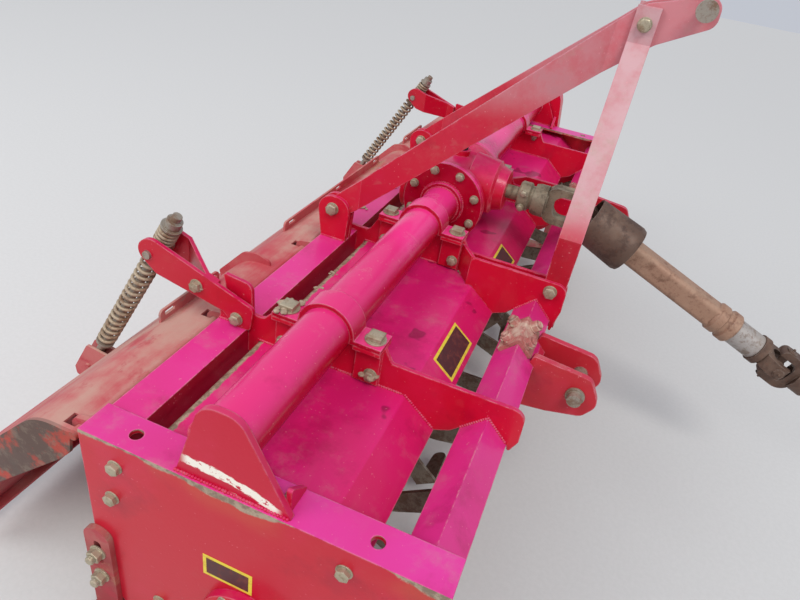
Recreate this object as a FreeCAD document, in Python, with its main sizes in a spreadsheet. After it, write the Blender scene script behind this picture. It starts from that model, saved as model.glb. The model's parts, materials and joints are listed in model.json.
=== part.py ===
"""Tractor-mounted rotary tiller, seven foot class.

Row frame: +X forward towards the tractor, +Y the machine's left, +Z up, in millimetres.
The model is laid out about the middle of the main tube, with the floor at height 0. At the
end everything moves together, so that the origin stands under the middle of its own box.
"""
import FreeCAD, Part
import math
import os

V = FreeCAD.Vector

# Driving dimensions: alias, value. Heights are above the floor, x is ahead of the main tube.
SIZES = (
    ("half_width", 1050.0),
    ("tube_height", 590.0),
    ("tube_radius", 44.5),
    ("tube_wall", 6.0),
    ("end_plate_thick", 10.0),
    ("end_plate_rear_x", -61.5),
    ("end_plate_front_x", 115.0),
    ("end_plate_rim", 31.5),
    ("flange_drop", 63.0),
    ("flange_wide", 60.0),
    ("flange_thick", 8.0),
    ("flange_hole_radius", 10.0),
    ("plate_thick", 8.0),
    ("plate_rear_x", -222.0),
    ("plate_front_x", 338.0),
    ("plate_low", 72.0),
    ("rotor_x", 58.0),
    ("rotor_height", 252.0),
    ("swing_radius", 236.0),
    ("rotor_tube_radius", 44.5),
    ("rotor_end_gap", 22.0),
    ("disc_radius", 92.0),
    ("disc_thick", 10.0),
    ("disc_count", 9.0),
    ("blade_thick", 7.0),
    ("blade_reach", 104.0),
    ("stub_radius", 25.0),
    ("shaft_gap", 0.3),
    ("bearing_radius", 74.0),
    ("bearing_deep", 46.0),
    ("case_deep", 66.0),
    ("case_top_radius", 112.0),
    ("case_low_radius", 100.0),
    ("case_cover_thick", 8.0),
    ("gearbox_flange_radius", 101.0),
    ("gearbox_half", 95.0),
    ("gearbox_flange_thick", 14.0),
    ("input_lift", 35.0),
    ("input_radius", 17.45),
    ("rib_thick", 8.0),
    ("outer_rib_y", 712.0),
    ("inner_rib_y", 242.0),
    ("rib_rise", 36.0),
    ("strap_thick", 8.0),
    ("strap_wide", 50.0),
    ("rear_beam_wide", 62.0),
    ("rear_beam_high", 62.0),
    ("beam_wall", 5.0),
    ("front_beam_side", 58.0),
    ("front_beam_x", 297.0),
    ("hood_thick", 5.0),
    ("hood_drop", 89.0),
    ("hood_rear_x", -136.0),
    ("hood_ridge_x", 150.0),
    ("hood_front_x", 213.0),
    ("hood_front_drop", 51.0),
    ("hitch_spread", 870.0),
    ("hitch_pin_radius", 14.0),
    ("hitch_pin_x", 431.0),
    ("hitch_pin_drop", 71.0),
    ("hitch_gap", 66.0),
    ("hitch_plate_thick", 14.0),
    ("mast_bar_wide", 48.0),
    ("mast_bar_thick", 12.0),
    ("mast_pin_x", 428.0),
    ("mast_pin_height", 1112.0),
    ("mast_pin_radius", 12.5),
    ("mast_gap", 60.0),
    ("brace_wide", 62.0),
    ("lug_x", -200.0),
    ("lug_rise", 73.0),
    ("lug_y", 300.0),
    ("cheek_rise", 51.0),
    ("lever_tip_x", -368.0),
    ("lever_tip_rise", 14.0),
    ("lever_gap", 50.0),
    ("lever_thick", 8.0),
    ("board_hinge_x", -258.0),
    ("hinge_drop", 43.0),
    ("board_thick", 5.0),
    ("board_half", 1032.0),
    ("hinge_pin_radius", 8.0),
    ("rod_radius", 9.0),
    ("rod_eye_x", -574.0),
    ("rod_eye_drop", 236.0),
    ("rod_over", 90.0),
    ("seat_reach", 94.0),
    ("spring_radius", 20.0),
    ("spring_wire", 6.5),
    ("skid_wide", 72.0),
    ("skid_thick", 10.0),
    ("joint_x", 320.0),
    ("drive_lean", 22.7),
    ("drive_reach", 613.0),
    ("drive_tube_half", 29.0),
    ("drive_inner_radius", 33.0),
    ("bell_radius", 62.0),
)

document = FreeCAD.newDocument("RotaryTiller")
sheet = document.addObject("Spreadsheet::Sheet", "Sizes")
value = {}
for number, (alias, size) in enumerate(SIZES, start=1):
    sheet.set("A%d" % number, alias)
    sheet.set("B%d" % number, "%g" % size)
    sheet.setAlias("B%d" % number, alias)
    value[alias] = size
document.recompute()

HW = value["half_width"]
TUBE_Z = value["tube_height"]
FLANGE_TOP = TUBE_Z - value["flange_drop"]
FLANGE_LOW = FLANGE_TOP - value["flange_thick"]
PLATE = value["plate_thick"]
INNER_Y = HW - PLATE
ROTOR_X = value["rotor_x"]
ROTOR_Z = value["rotor_height"]
SIDES = (("right", -1.0), ("left", 1.0))
RIB_TOP = FLANGE_LOW + value["rib_rise"]
HOOD_TOP = TUBE_Z - value["hood_drop"]
HOOD_FRONT = HOOD_TOP - value["hood_front_drop"]
LUG_Z = FLANGE_LOW + value["lug_rise"]
HITCH_Z = FLANGE_LOW - value["hitch_pin_drop"]
HINGE_Z = FLANGE_LOW - value["hinge_drop"]
BOARD_TOP = HINGE_Z + 6.0
LEVER_Z = TUBE_Z + value["lever_tip_rise"]
EYE_Z = HINGE_Z - value["rod_eye_drop"]

pieces = []


def rounded_edges(corners, place):
    """Closed outline from corners (u, v, rounding radius); place turns (u, v) into a point."""
    count = len(corners)
    flat = [V(u, v, 0.0) for u, v, _ in corners]
    starts = []
    ends = []
    middles = []
    for index, (_, _, radius) in enumerate(corners):
        here = flat[index]
        back = (flat[index - 1] - here).normalize()
        ahead = (flat[(index + 1) % count] - here).normalize()
        if radius <= 0.0:
            starts.append(here)
            ends.append(here)
            middles.append(None)
            continue
        half = back.getAngle(ahead) / 2.0
        along = radius / math.tan(half)
        bisector = (back + ahead).normalize()
        centre = here + bisector * (radius / math.sin(half))
        starts.append(here + back * along)
        ends.append(here + ahead * along)
        middles.append(centre - bisector * radius)
    edges = []
    for index in range(count):
        if middles[index] is not None:
            arc = Part.Arc(place(starts[index]), place(middles[index]), place(ends[index]))
            edges.append(arc.toShape())
        following = (index + 1) % count
        if (starts[following] - ends[index]).Length > 0.001:
            edges.append(Part.LineSegment(place(ends[index]), place(starts[following])).toShape())
    return edges


def outline_face(axis, corners, level):
    """Flat face of an outline that lies across the named axis at the given level."""
    place = {
        "x": lambda p: V(level, p.x, p.y),
        "y": lambda p: V(p.x, level, p.y),
        "z": lambda p: V(p.x, p.y, level),
    }[axis]
    return Part.Face(Part.Wire(Part.__sortEdges__(rounded_edges(corners, place))))


def prism(axis, corners, low, high):
    """Outline extruded along an axis. Across y the corners are (x, z), across x (y, z)."""
    direction = {"x": V(1, 0, 0), "y": V(0, 1, 0), "z": V(0, 0, 1)}[axis]
    return outline_face(axis, corners, low).extrude(direction * (high - low))


def box(x_pair, y_pair, z_pair):
    """Box between two values along each axis."""
    size = [pair[1] - pair[0] for pair in (x_pair, y_pair, z_pair)]
    return Part.makeBox(size[0], size[1], size[2], V(x_pair[0], y_pair[0], z_pair[0]))


def rod_y(x, z, radius, low, high):
    """Round bar along y."""
    return Part.makeCylinder(radius, high - low, V(x, low, z), V(0, 1, 0))


def rod_between(start, end, radius):
    """Round bar from one point to another."""
    return Part.makeCylinder(radius, (end - start).Length, start, end - start)


def strip(points, thick, radius=0.0):
    """Outline of a bent flat strip: thick is laid off to the left of the path."""
    flat = [V(u, v, 0.0) for u, v in points]
    normals = []
    for first, second in zip(flat, flat[1:]):
        run = (second - first).normalize()
        normals.append(V(-run.y, run.x, 0.0))
    outer = [flat[0] + normals[0] * thick]
    turns = []
    for index in range(1, len(flat) - 1):
        before = normals[index - 1]
        after = normals[index]
        bisector = (before + after).normalize()
        outer.append(flat[index] + bisector * (thick / bisector.dot(after)))
        turns.append(before.x * after.y - before.y * after.x)
    outer.append(flat[-1] + normals[-1] * thick)
    near = [(p.x, p.y, 0.0) for p in flat]
    far = [(p.x, p.y, 0.0) for p in outer]
    if radius > 0.0:
        for index, turn in enumerate(turns, start=1):
            inner_round = radius + thick if turn > 0 else radius
            outer_round = radius if turn > 0 else radius + thick
            near[index] = (near[index][0], near[index][1], inner_round)
            far[index] = (far[index][0], far[index][1], outer_round)
    return near + far[::-1]


def mirror_y(shape):
    """The same shape on the machine's other side."""
    return shape.mirror(V(0, 0, 0), V(0, 1, 0))


def on_side(shape, side):
    """Shape drawn on the left, given for the named side's sign."""
    return shape if side > 0 else mirror_y(shape)


def add(label, shape):
    """Keep a finished shape as one sub-part of the document."""
    feature = document.addObject("Part::Feature", label.title().replace("_", ""))
    feature.Label = label
    feature.Shape = shape
    pieces.append(feature)
    return feature


def add_object(label, feature):
    """Keep a parametric object as one sub-part of the document."""
    feature.Label = label
    pieces.append(feature)
    return feature


def bound_cylinder(name, radius, height, base, direction):
    """Cylinder whose radius and height are expressions on the sheet."""
    feature = document.addObject("Part::Cylinder", name)
    feature.setExpression("Radius", radius)
    feature.setExpression("Height", height)
    feature.Placement = FreeCAD.Placement(base, FreeCAD.Rotation(V(0, 0, 1), direction))
    return feature


def bound_box(name, length, width, height, base, rotation=None):
    """Box whose three sizes are expressions on the sheet."""
    feature = document.addObject("Part::Box", name)
    feature.setExpression("Length", length)
    feature.setExpression("Width", width)
    feature.setExpression("Height", height)
    feature.Placement = FreeCAD.Placement(base, rotation or FreeCAD.Rotation())
    return feature


def bound_cut(name, base, tool):
    """One bound solid less another."""
    feature = document.addObject("Part::Cut", name)
    feature.Base = base
    feature.Tool = tool
    return feature


def bound_fuse(name, shapes):
    """Several bound solids made one."""
    feature = document.addObject("Part::MultiFuse", name)
    feature.Shapes = shapes
    return feature


def side_plates():
    """Vertical side plates with a wide flange along the top edge."""
    rear = value["plate_rear_x"]
    front = value["plate_front_x"]
    low = value["plate_low"]
    bearing_hole = value["stub_radius"] + 12.0
    flange_holes = (rear + 76.0, front - 110.0)
    for name, side in SIDES:
        corners = (
            (rear, FLANGE_LOW, 0.0), (rear, low + 100.0, 30.0), (rear + 96.0, low, 60.0),
            (ROTOR_X + 110.0, low, 90.0), (front - 48.0, low + 150.0, 60.0),
            (front - 48.0, FLANGE_LOW - 95.0, 20.0), (front, FLANGE_LOW - 60.0, 12.0),
            (front, FLANGE_LOW, 0.0),
        )
        plate = prism("y", corners, INNER_Y, HW)
        flange = box((rear, front), (HW - value["flange_wide"], HW), (FLANGE_LOW, FLANGE_TOP))
        plate = plate.fuse(flange)
        plate = plate.cut(rod_y(ROTOR_X, ROTOR_Z, bearing_hole, INNER_Y - 1.0, HW + 1.0))
        for hole_x in flange_holes:
            hole = Part.makeCylinder(value["flange_hole_radius"], value["flange_thick"] + 2.0,
                                     V(hole_x, HW - value["flange_wide"] / 2.0, FLANGE_LOW - 1.0))
            plate = plate.cut(hole)
        add("side_plate_" + name, on_side(plate.removeSplitter(), side))


def end_plates():
    """Arched plate that carries each end of the main tube, with its small gusset."""
    rear = value["end_plate_rear_x"]
    front = value["end_plate_front_x"]
    top = TUBE_Z + value["tube_radius"] + value["end_plate_rim"]
    outer = HW - 6.0
    inner = outer - value["end_plate_thick"]
    for name, side in SIDES:
        corners = (
            (rear, FLANGE_TOP, 0.0), (front, FLANGE_TOP, 0.0),
            (37.0, top, 34.0), (-19.5, top, 34.0),
        )
        plate = prism("y", corners, inner, outer)
        gusset = prism("x", ((inner, FLANGE_TOP, 0.0), (inner - 50.0, FLANGE_TOP, 4.0),
                             (inner, FLANGE_TOP + 46.0, 4.0)), front - 14.0, front - 6.0)
        add("tube_end_plate_" + name, on_side(plate.fuse(gusset).removeSplitter(), side))


def main_tubes():
    """The two halves of the cross tube, each from its end plate to the gearbox flange."""
    inner_end = value["gearbox_half"] + value["gearbox_flange_thick"]
    for name, side in SIDES:
        title = name.title()
        outer_end = HW - 6.0 - value["end_plate_thick"]
        base = V(0, side * outer_end, TUBE_Z)
        run = ("Sizes.half_width - 6 - Sizes.end_plate_thick"
               " - Sizes.gearbox_half - Sizes.gearbox_flange_thick")
        skin = bound_cylinder("TubeSkin" + title, "Sizes.tube_radius", run, base, V(0, -side, 0))
        bore = bound_cylinder("TubeBore" + title, "Sizes.tube_radius - Sizes.tube_wall", run,
                              base, V(0, -side, 0))
        tube = bound_cut("TubeWall" + title, skin, bore)
        flange = rod_y(0, TUBE_Z, value["gearbox_flange_radius"], value["gearbox_half"], inner_end)
        ring = rod_y(0, TUBE_Z, value["tube_radius"] + 9.0, inner_end, inner_end + 12.0)
        hole = rod_y(0, TUBE_Z, value["tube_radius"], inner_end, inner_end + 12.0)
        collar = document.addObject("Part::Feature", "TubeFlange" + title)
        collar.Shape = on_side(flange.fuse(ring).cut(hole).removeSplitter(), side)
        add_object("main_tube_" + name, bound_fuse("MainTube" + title, [tube, collar]))


def gearbox():
    """Central gearbox: round body, front bearing nose, top boss with its filler plug."""
    half = value["gearbox_half"]
    radius = value["gearbox_flange_radius"]
    input_z = TUBE_Z + value["input_lift"]
    profile = (
        (-half, 0.0), (-half, radius), (-half + 14.0, radius), (-half + 30.0, radius - 12.0),
        (half - 30.0, radius - 12.0), (half - 14.0, radius), (half, radius), (half, 0.0),
    )
    wire = Part.makePolygon([V(0, y, r) for y, r in profile + profile[:1]])
    body = Part.Face(wire).revolve(V(0, 0, 0), V(0, 1, 0), 360.0)
    body.translate(V(0, 0, TUBE_Z))
    nose_profile = ((40.0, 0.0), (40.0, 74.0), (104.0, 68.0), (110.0, 58.0), (134.0, 50.0),
                    (134.0, 0.0))
    nose_wire = Part.makePolygon([V(x, 0, r) for x, r in nose_profile + nose_profile[:1]])
    nose = Part.Face(nose_wire).revolve(V(0, 0, 0), V(1, 0, 0), 360.0)
    nose.translate(V(0, 0, input_z))
    boss = Part.makeCylinder(22.0, 24.0, V(-6.0, 20.0, TUBE_Z + radius - 22.0))
    rear_ring = Part.makeCylinder(72.0, 26.0, V(-112.0, 0, TUBE_Z), V(1, 0, 0))
    housing = body.fuse([nose, boss, rear_ring]).removeSplitter()
    add("gearbox_housing", housing)
    plug_z = TUBE_Z + radius + 2.0
    plug = Part.makeCylinder(15.0, 8.0, V(-6.0, 20.0, plug_z))
    cap = Part.makeCylinder(11.0, 16.0, V(-6.0, 20.0, plug_z + 8.0))
    add("filler_plug", plug.fuse(cap).removeSplitter())
    cover = Part.makeCylinder(78.0, 12.0, V(-124.0, 0, TUBE_Z), V(1, 0, 0))
    add("gearbox_rear_cover", cover)


def rib_front(top, toe_drop):
    """Corners of a cross plate from its top edge round the toe to the front beam's top."""
    beam_x = value["front_beam_x"]
    reach = value["front_beam_side"] / math.sqrt(2.0)
    beam_z = FLANGE_LOW - reach
    return (
        (beam_x + 56.0, top, 22.0), (beam_x + 58.0, top - 62.0, 8.0),
        (beam_x + reach + 4.0, beam_z - toe_drop, 3.0), (beam_x + reach, beam_z, 0.0),
        (beam_x, FLANGE_LOW, 0.0), (beam_x - reach, beam_z, 0.0),
        (beam_x - reach - 16.0, beam_z - 16.0, 4.0), (value["hood_front_x"], HOOD_FRONT, 0.0),
        (value["hood_ridge_x"], HOOD_TOP, 0.0),
    )


def rib_outline(heel):
    """Side outline of a cross rib: over the rear beam, round the tube, over the front beam."""
    rear = value["plate_rear_x"]
    rear_front = rear + value["rear_beam_wide"]
    beam_low = FLANGE_LOW - value["rear_beam_high"]
    saddle = TUBE_Z - value["strap_thick"]
    lip_x = value["hood_rear_x"] - 8.0
    return (
        (rear_front, beam_low + 10.0, 0.0), (rear_front, FLANGE_LOW, 0.0),
        (rear + 2.0, FLANGE_LOW, 0.0), (rear + 2.0, FLANGE_LOW + heel, 12.0),
        (-130.0, FLANGE_LOW + heel - 2.0, 12.0), (-102.0, saddle, 0.0),
        (102.0, saddle, 0.0), (118.0, RIB_TOP, 8.0),
    ) + rib_front(RIB_TOP, 16.0) + (
        (value["hood_rear_x"], HOOD_TOP, 0.0), (lip_x, HOOD_TOP - 20.0, 0.0),
        (lip_x, beam_low + 10.0, 0.0),
    )


def ribs():
    """Four vertical ribs that carry the tube and tie the beams; each has a saddle for the tube."""
    half_strap = value["strap_wide"] / 2.0
    low_ear = TUBE_Z - value["strap_thick"]
    half = value["rib_thick"] / 2.0
    for kind, heel in (("outer", 34.0), ("inner", 14.0)):
        y = value[kind + "_rib_y"]
        rib = prism("y", rib_outline(heel), y - half, y + half)
        for ear_side in (-1.0, 1.0):
            ear_x = sorted((ear_side * 52.0, ear_side * 102.0))
            tab_x = sorted((ear_side * 54.0, ear_side * 100.0))
            ear = box(ear_x, (y - half_strap, y + half_strap), (low_ear - 8.0, low_ear))
            tab = box(tab_x, (y + half, y + half + 8.0), (HOOD_TOP + 3.0, low_ear - 8.0))
            rib = rib.fuse([ear, tab])
        extras = []
        if kind == "inner":
            rib = rib.fuse(hitch_cheek())
            extras = brace_lugs()
        else:
            rib = rib.fuse(leaf_gusset(y - half))
        rib = rib.cut([rod_y(0, TUBE_Z, value["tube_radius"], y - 60.0, y + 60.0),
                       hood_sheet(y - 60.0, y + 60.0)])
        rib = rib.removeSplitter()
        whole = Part.makeCompound([rib] + extras) if extras else rib
        for name, side in SIDES:
            add("rib_%s_%s" % (kind, name), on_side(whole, side))


def hitch_cheek():
    """Second plate beside an inner rib, where the head frame's upright is fixed, and its tie."""
    y = value["inner_rib_y"]
    top = FLANGE_LOW + value["cheek_rise"]
    corners = ((136.0, HOOD_TOP, 0.0), (136.0, top, 14.0)) + rib_front(top, 42.0)
    cheek = prism("y", corners, y + 46.0, y + 54.0)
    tie = prism("z", ((98.0, y, 0.0), (108.0, y, 0.0), (146.0, y + 50.0, 0.0), (136.0, y + 50.0, 0.0)),
                HOOD_TOP, top)
    return [cheek, tie]


def leaf_gusset(face):
    """Small upright leaf on the inner side of an outer rib, above the rear beam."""
    corners = ((-200.0, FLANGE_LOW, 0.0), (-218.0, FLANGE_LOW + 92.0, 4.0),
               (-160.0, FLANGE_LOW + 86.0, 16.0), (-156.0, FLANGE_LOW, 0.0))
    return prism("y", corners, face - 8.0, face)


def brace_lugs():
    """Pair of round-topped plates on the rear beam that hold a rear brace between them."""
    thick = 10.0
    half = value["mast_bar_thick"] / 2.0
    x = value["lug_x"]
    y = value["lug_y"]
    rear = value["plate_rear_x"]
    corners = ((rear, FLANGE_LOW, 0.0), (rear + value["rear_beam_wide"], FLANGE_LOW, 0.0),
               (x + 44.0, LUG_Z + 30.0, 34.0), (x - 40.0, LUG_Z + 30.0, 34.0))
    return [prism("y", corners, y - half - thick, y - half), prism("y", corners, y + half, y + half + thick)]


def tube_straps():
    """Bent straps that clamp the tube down on the ribs' saddles."""
    thick = value["strap_thick"]
    radius = value["tube_radius"]
    half_strap = value["strap_wide"] / 2.0
    for name, side in SIDES:
        straps = []
        for kind in ("outer", "inner"):
            y = value[kind + "_rib_y"]
            arch = rod_y(0, TUBE_Z, radius + thick, y - half_strap, y + half_strap)
            ears = box((-102.0, 102.0), (y - half_strap, y + half_strap), (TUBE_Z - thick, TUBE_Z))
            strap = arch.fuse(ears)
            strap = strap.cut(rod_y(0, TUBE_Z, radius, y - 60.0, y + 60.0))
            strap = strap.cut(box((-radius - thick - 20.0, radius + thick + 20.0), (y - 60.0, y + 60.0),
                                  (TUBE_Z - radius - 40.0, TUBE_Z - thick)))
            straps.append(on_side(strap.removeSplitter(), side))
        add("tube_straps_" + name, Part.makeCompound(straps))


def beams():
    """Rectangular rear beam and square front beam set on its edge."""
    rear = value["plate_rear_x"]
    wall = value["beam_wall"]
    low = FLANGE_LOW - value["rear_beam_high"]
    skin = bound_box("RearSkin", "Sizes.rear_beam_wide", "2 * (Sizes.half_width - Sizes.plate_thick)",
                     "Sizes.rear_beam_high", V(rear, -INNER_Y, low))
    hollow = bound_box("RearHollow", "Sizes.rear_beam_wide - 2 * Sizes.beam_wall",
                       "2 * (Sizes.half_width - Sizes.plate_thick)",
                       "Sizes.rear_beam_high - 2 * Sizes.beam_wall", V(rear + wall, -INNER_Y, low + wall))
    add_object("rear_beam", bound_cut("RearBeam", skin, hollow))
    side = value["front_beam_side"]
    reach = side / math.sqrt(2.0)
    turn = FreeCAD.Rotation(V(0, 1, 0), 45.0)
    centre = V(value["front_beam_x"], -INNER_Y, FLANGE_LOW - reach)
    corner = centre + turn.multVec(V(-side / 2.0, 0, -side / 2.0))
    inner = centre + turn.multVec(V(-side / 2.0 + wall, 0, -side / 2.0 + wall))
    front_skin = bound_box("FrontSkin", "Sizes.front_beam_side",
                           "2 * (Sizes.half_width - Sizes.plate_thick)",
                           "Sizes.front_beam_side", corner, turn)
    front_hollow = bound_box("FrontHollow", "Sizes.front_beam_side - 2 * Sizes.beam_wall",
                             "2 * (Sizes.half_width - Sizes.plate_thick)",
                             "Sizes.front_beam_side - 2 * Sizes.beam_wall", inner, turn)
    add_object("front_beam", bound_cut("FrontBeam", front_skin, front_hollow))


def hood_sheet(low, high):
    """Bent sheet over the rotor between two values along y."""
    path = (
        (value["hood_rear_x"] - 8.0, HOOD_TOP - 20.0), (value["hood_rear_x"], HOOD_TOP),
        (value["hood_ridge_x"], HOOD_TOP), (value["hood_front_x"], HOOD_FRONT),
    )
    return prism("y", strip(path, -value["hood_thick"], 14.0), low, high)


def hood():
    """Hood from behind the tube down to the front edge, open under the gearbox."""
    opening = value["gearbox_half"] + value["gearbox_flange_thick"] + 15.0
    recess = rod_y(0, TUBE_Z, value["gearbox_flange_radius"] + 4.0, -opening, opening)
    add("hood", hood_sheet(-INNER_Y, INNER_Y).cut(recess))


def front_beam_square(low, high):
    """Solid square of the front beam between two values along y."""
    reach = value["front_beam_side"] / math.sqrt(2.0)
    x = value["front_beam_x"]
    z = FLANGE_LOW - reach
    corners = ((x - reach, z, 0.0), (x, z + reach, 0.0), (x + reach, z, 0.0), (x, z - reach, 0.0))
    return prism("y", corners, low, high)


def hitch_plate(low, high):
    """One plate of a lower hitch, from the front beam to its rounded nose round the pin."""
    x = value["front_beam_x"]
    bottom = FLANGE_LOW - value["front_beam_side"] * math.sqrt(2.0)
    pin_x = value["hitch_pin_x"]
    corners = (
        (x + 20.0, FLANGE_LOW - 32.0, 0.0), (x + 31.5, FLANGE_LOW - 31.5, 0.0),
        (x + 36.0, FLANGE_LOW - 15.0, 5.0), (pin_x + 20.0, HITCH_Z + 45.0, 26.0),
        (pin_x + 48.0, HITCH_Z - 8.0, 30.0), (pin_x + 24.0, HITCH_Z - 45.0, 24.0),
        (pin_x - 45.0, HITCH_Z - 62.0, 30.0), (x + 30.0, HITCH_Z - 70.0, 14.0),
        (x + 2.0, bottom - 34.0, 14.0), (x - 14.0, bottom - 14.0, 0.0),
    )
    return prism("y", corners, low, high).cut(front_beam_square(low - 1.0, high + 1.0))


def lower_hitches():
    """Two-plate clevises on the front beam, with their angle clamps and pins."""
    reach = value["front_beam_side"] / math.sqrt(2.0)
    beam_x = value["front_beam_x"]
    beam_z = FLANGE_LOW - reach
    pin_x = value["hitch_pin_x"]
    radius = value["hitch_pin_radius"]
    thick = value["hitch_plate_thick"]
    centre_y = value["hitch_spread"] / 2.0
    inner = centre_y - value["hitch_gap"] / 2.0 - thick
    outer = centre_y + value["hitch_gap"] / 2.0 + thick
    low = beam_z - reach
    saddle = (
        (beam_x - 31.1, FLANGE_LOW - 31.1, 0.0), (beam_x, FLANGE_LOW, 0.0),
        (beam_x + 26.0, FLANGE_LOW - 26.0, 0.0), (beam_x + 31.7, FLANGE_LOW - 20.3, 0.0),
        (beam_x, FLANGE_LOW + 11.4, 4.0), (beam_x - 36.8, FLANGE_LOW - 25.4, 0.0),
    )
    base = ((beam_x + reach, beam_z, 0.0), (beam_x + reach + 12.0, beam_z - 12.0, 0.0),
            (beam_x + 12.0, low - 12.0, 0.0), (beam_x, low, 0.0))
    pins = []
    for name, side in SIDES:
        clevis = prism("y", base, inner, outer)
        clevis = clevis.fuse([hitch_plate(inner, inner + thick), hitch_plate(outer - thick, outer)])
        bore = rod_y(pin_x, HITCH_Z, radius + value["shaft_gap"], inner - 20.0, outer + 20.0)
        add("lower_hitch_" + name, on_side(clevis.cut(bore).removeSplitter(), side))
        pin = rod_y(pin_x, HITCH_Z, radius, inner - 8.0, outer + 21.3)
        head = rod_y(pin_x, HITCH_Z, 20.0, inner - 12.0, inner - 2.0)
        collar = rod_y(pin_x, HITCH_Z, 19.0, outer + 0.3, outer + 5.3)
        pins.append(on_side(pin.fuse([head, collar]).removeSplitter(), side))
        add("hitch_clamp_" + name, on_side(prism("y", saddle, inner, outer), side))
    add("hitch_pins", Part.makeCompound(pins))


def mast():
    """Head frame: two upright bars, two rear braces and the top pin."""
    bar = value["mast_bar_thick"]
    wide = value["mast_bar_wide"]
    pin_x = value["mast_pin_x"]
    pin_z = value["mast_pin_height"]
    radius = value["mast_pin_radius"]
    gap = value["mast_gap"] / 2.0
    foot_y = value["inner_rib_y"] + 46.0 - bar
    lug_x = value["lug_x"]
    lug_y = value["lug_y"] + bar / 2.0
    bar_x = value["front_beam_x"] + 29.0
    slope_z = pin_z - 48.0
    for name, side in SIDES:
        brace_side = prism("y", (
            (lug_x - 26.0, LUG_Z + 4.0, 22.0), (lug_x + 18.0, LUG_Z - 24.0, 22.0),
            (bar_x + 32.0, slope_z - 34.0, 60.0), (pin_x + 30.0, pin_z - 28.0, 24.0),
            (pin_x + 26.0, pin_z + 30.0, 24.0), (bar_x - 12.0, slope_z + 36.0, 60.0),
        ), 0.0, HW)
        brace_plan = prism("z", strip((
            (lug_x - 60.0, lug_y), (lug_x + 60.0, lug_y),
            (bar_x - 54.0, gap + bar), (pin_x + 60.0, gap + bar)), -bar), 0.0, pin_z + 200.0)
        brace = brace_side.common(brace_plan)
        brace = brace.cut(rod_y(pin_x, pin_z, radius, 0.0, HW))
        add("mast_brace_" + name, on_side(brace.removeSplitter(), side))
        upright = prism("x", strip((
            (gap + bar, slope_z + 34.0), (gap + bar, slope_z - 40.0),
            (foot_y, FLANGE_LOW + 149.0), (foot_y, FLANGE_LOW - 60.0)), bar),
            bar_x - wide / 2.0, bar_x + wide / 2.0)
        upright = upright.cut(front_beam_square(foot_y - 5.0, foot_y + bar + 5.0))
        add("mast_upright_" + name, on_side(upright.removeSplitter(), side))
    plate_out = gap + bar
    pin = rod_y(pin_x, pin_z, radius, -plate_out - 34.0, plate_out + 38.0)
    head = rod_y(pin_x, pin_z, radius + 8.0, -plate_out - 46.0, -plate_out - 34.0)
    collar = rod_y(pin_x, pin_z, 17.0, plate_out + 0.3, plate_out + 4.3)
    add("top_link_pin", pin.fuse([head, collar]).removeSplitter())


def bearing_and_case():
    """Rotor bearing housing on the right; gear drive case and its cover on the left."""
    hole = value["stub_radius"] + value["shaft_gap"]
    deep = value["bearing_deep"]
    profile = ((HW, 0.0), (HW, value["bearing_radius"]), (HW + 14.0, value["bearing_radius"]),
               (HW + 18.0, 56.0), (HW + deep - 6.0, 50.0), (HW + deep, 42.0), (HW + deep, 0.0))
    wire = Part.makePolygon([V(r, y, 0) for y, r in profile + profile[:1]])
    housing = Part.Face(wire).revolve(V(0, 0, 0), V(0, 1, 0), 360.0)
    housing = housing.cut(Part.makeCylinder(hole, deep - 12.0, V(0, HW, 0), V(0, 1, 0)))
    housing.translate(V(ROTOR_X, 0, ROTOR_Z))
    add("rotor_bearing_right", mirror_y(housing))
    body_end = HW + value["case_deep"]
    case = case_solid(0.0, HW, body_end)
    case = case.fuse(rod_y(0, TUBE_Z, 58.0, HW - 6.0, HW))
    case = case.cut(rod_y(ROTOR_X, ROTOR_Z, hole, HW - 7.0, HW + 36.0))
    add("drive_case", case.removeSplitter())
    cover = case_solid(-10.0, body_end, body_end + value["case_cover_thick"])
    add("drive_case_cover", cover)


def case_solid(grow, low, high):
    """Long round-ended casing between the tube axis and the rotor axis, grown outwards."""
    top_radius = value["case_top_radius"] + grow
    low_radius = value["case_low_radius"] + grow
    top = rod_y(0, TUBE_Z, top_radius, low, high)
    bottom = rod_y(ROTOR_X, ROTOR_Z, low_radius, low, high)
    run = math.hypot(ROTOR_X, TUBE_Z - ROTOR_Z)
    down = math.atan2(ROTOR_Z - TUBE_Z, ROTOR_X)
    spread = math.acos((top_radius - low_radius) / run)
    corners = []
    for centre_x, centre_z, radius, angle in (
            (0.0, TUBE_Z, top_radius, down + spread), (ROTOR_X, ROTOR_Z, low_radius, down + spread),
            (ROTOR_X, ROTOR_Z, low_radius, down - spread), (0.0, TUBE_Z, top_radius, down - spread)):
        corners.append((centre_x + radius * math.cos(angle), centre_z + radius * math.sin(angle), 0.0))
    return top.fuse([bottom, prism("y", corners, low, high)]).removeSplitter()


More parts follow.
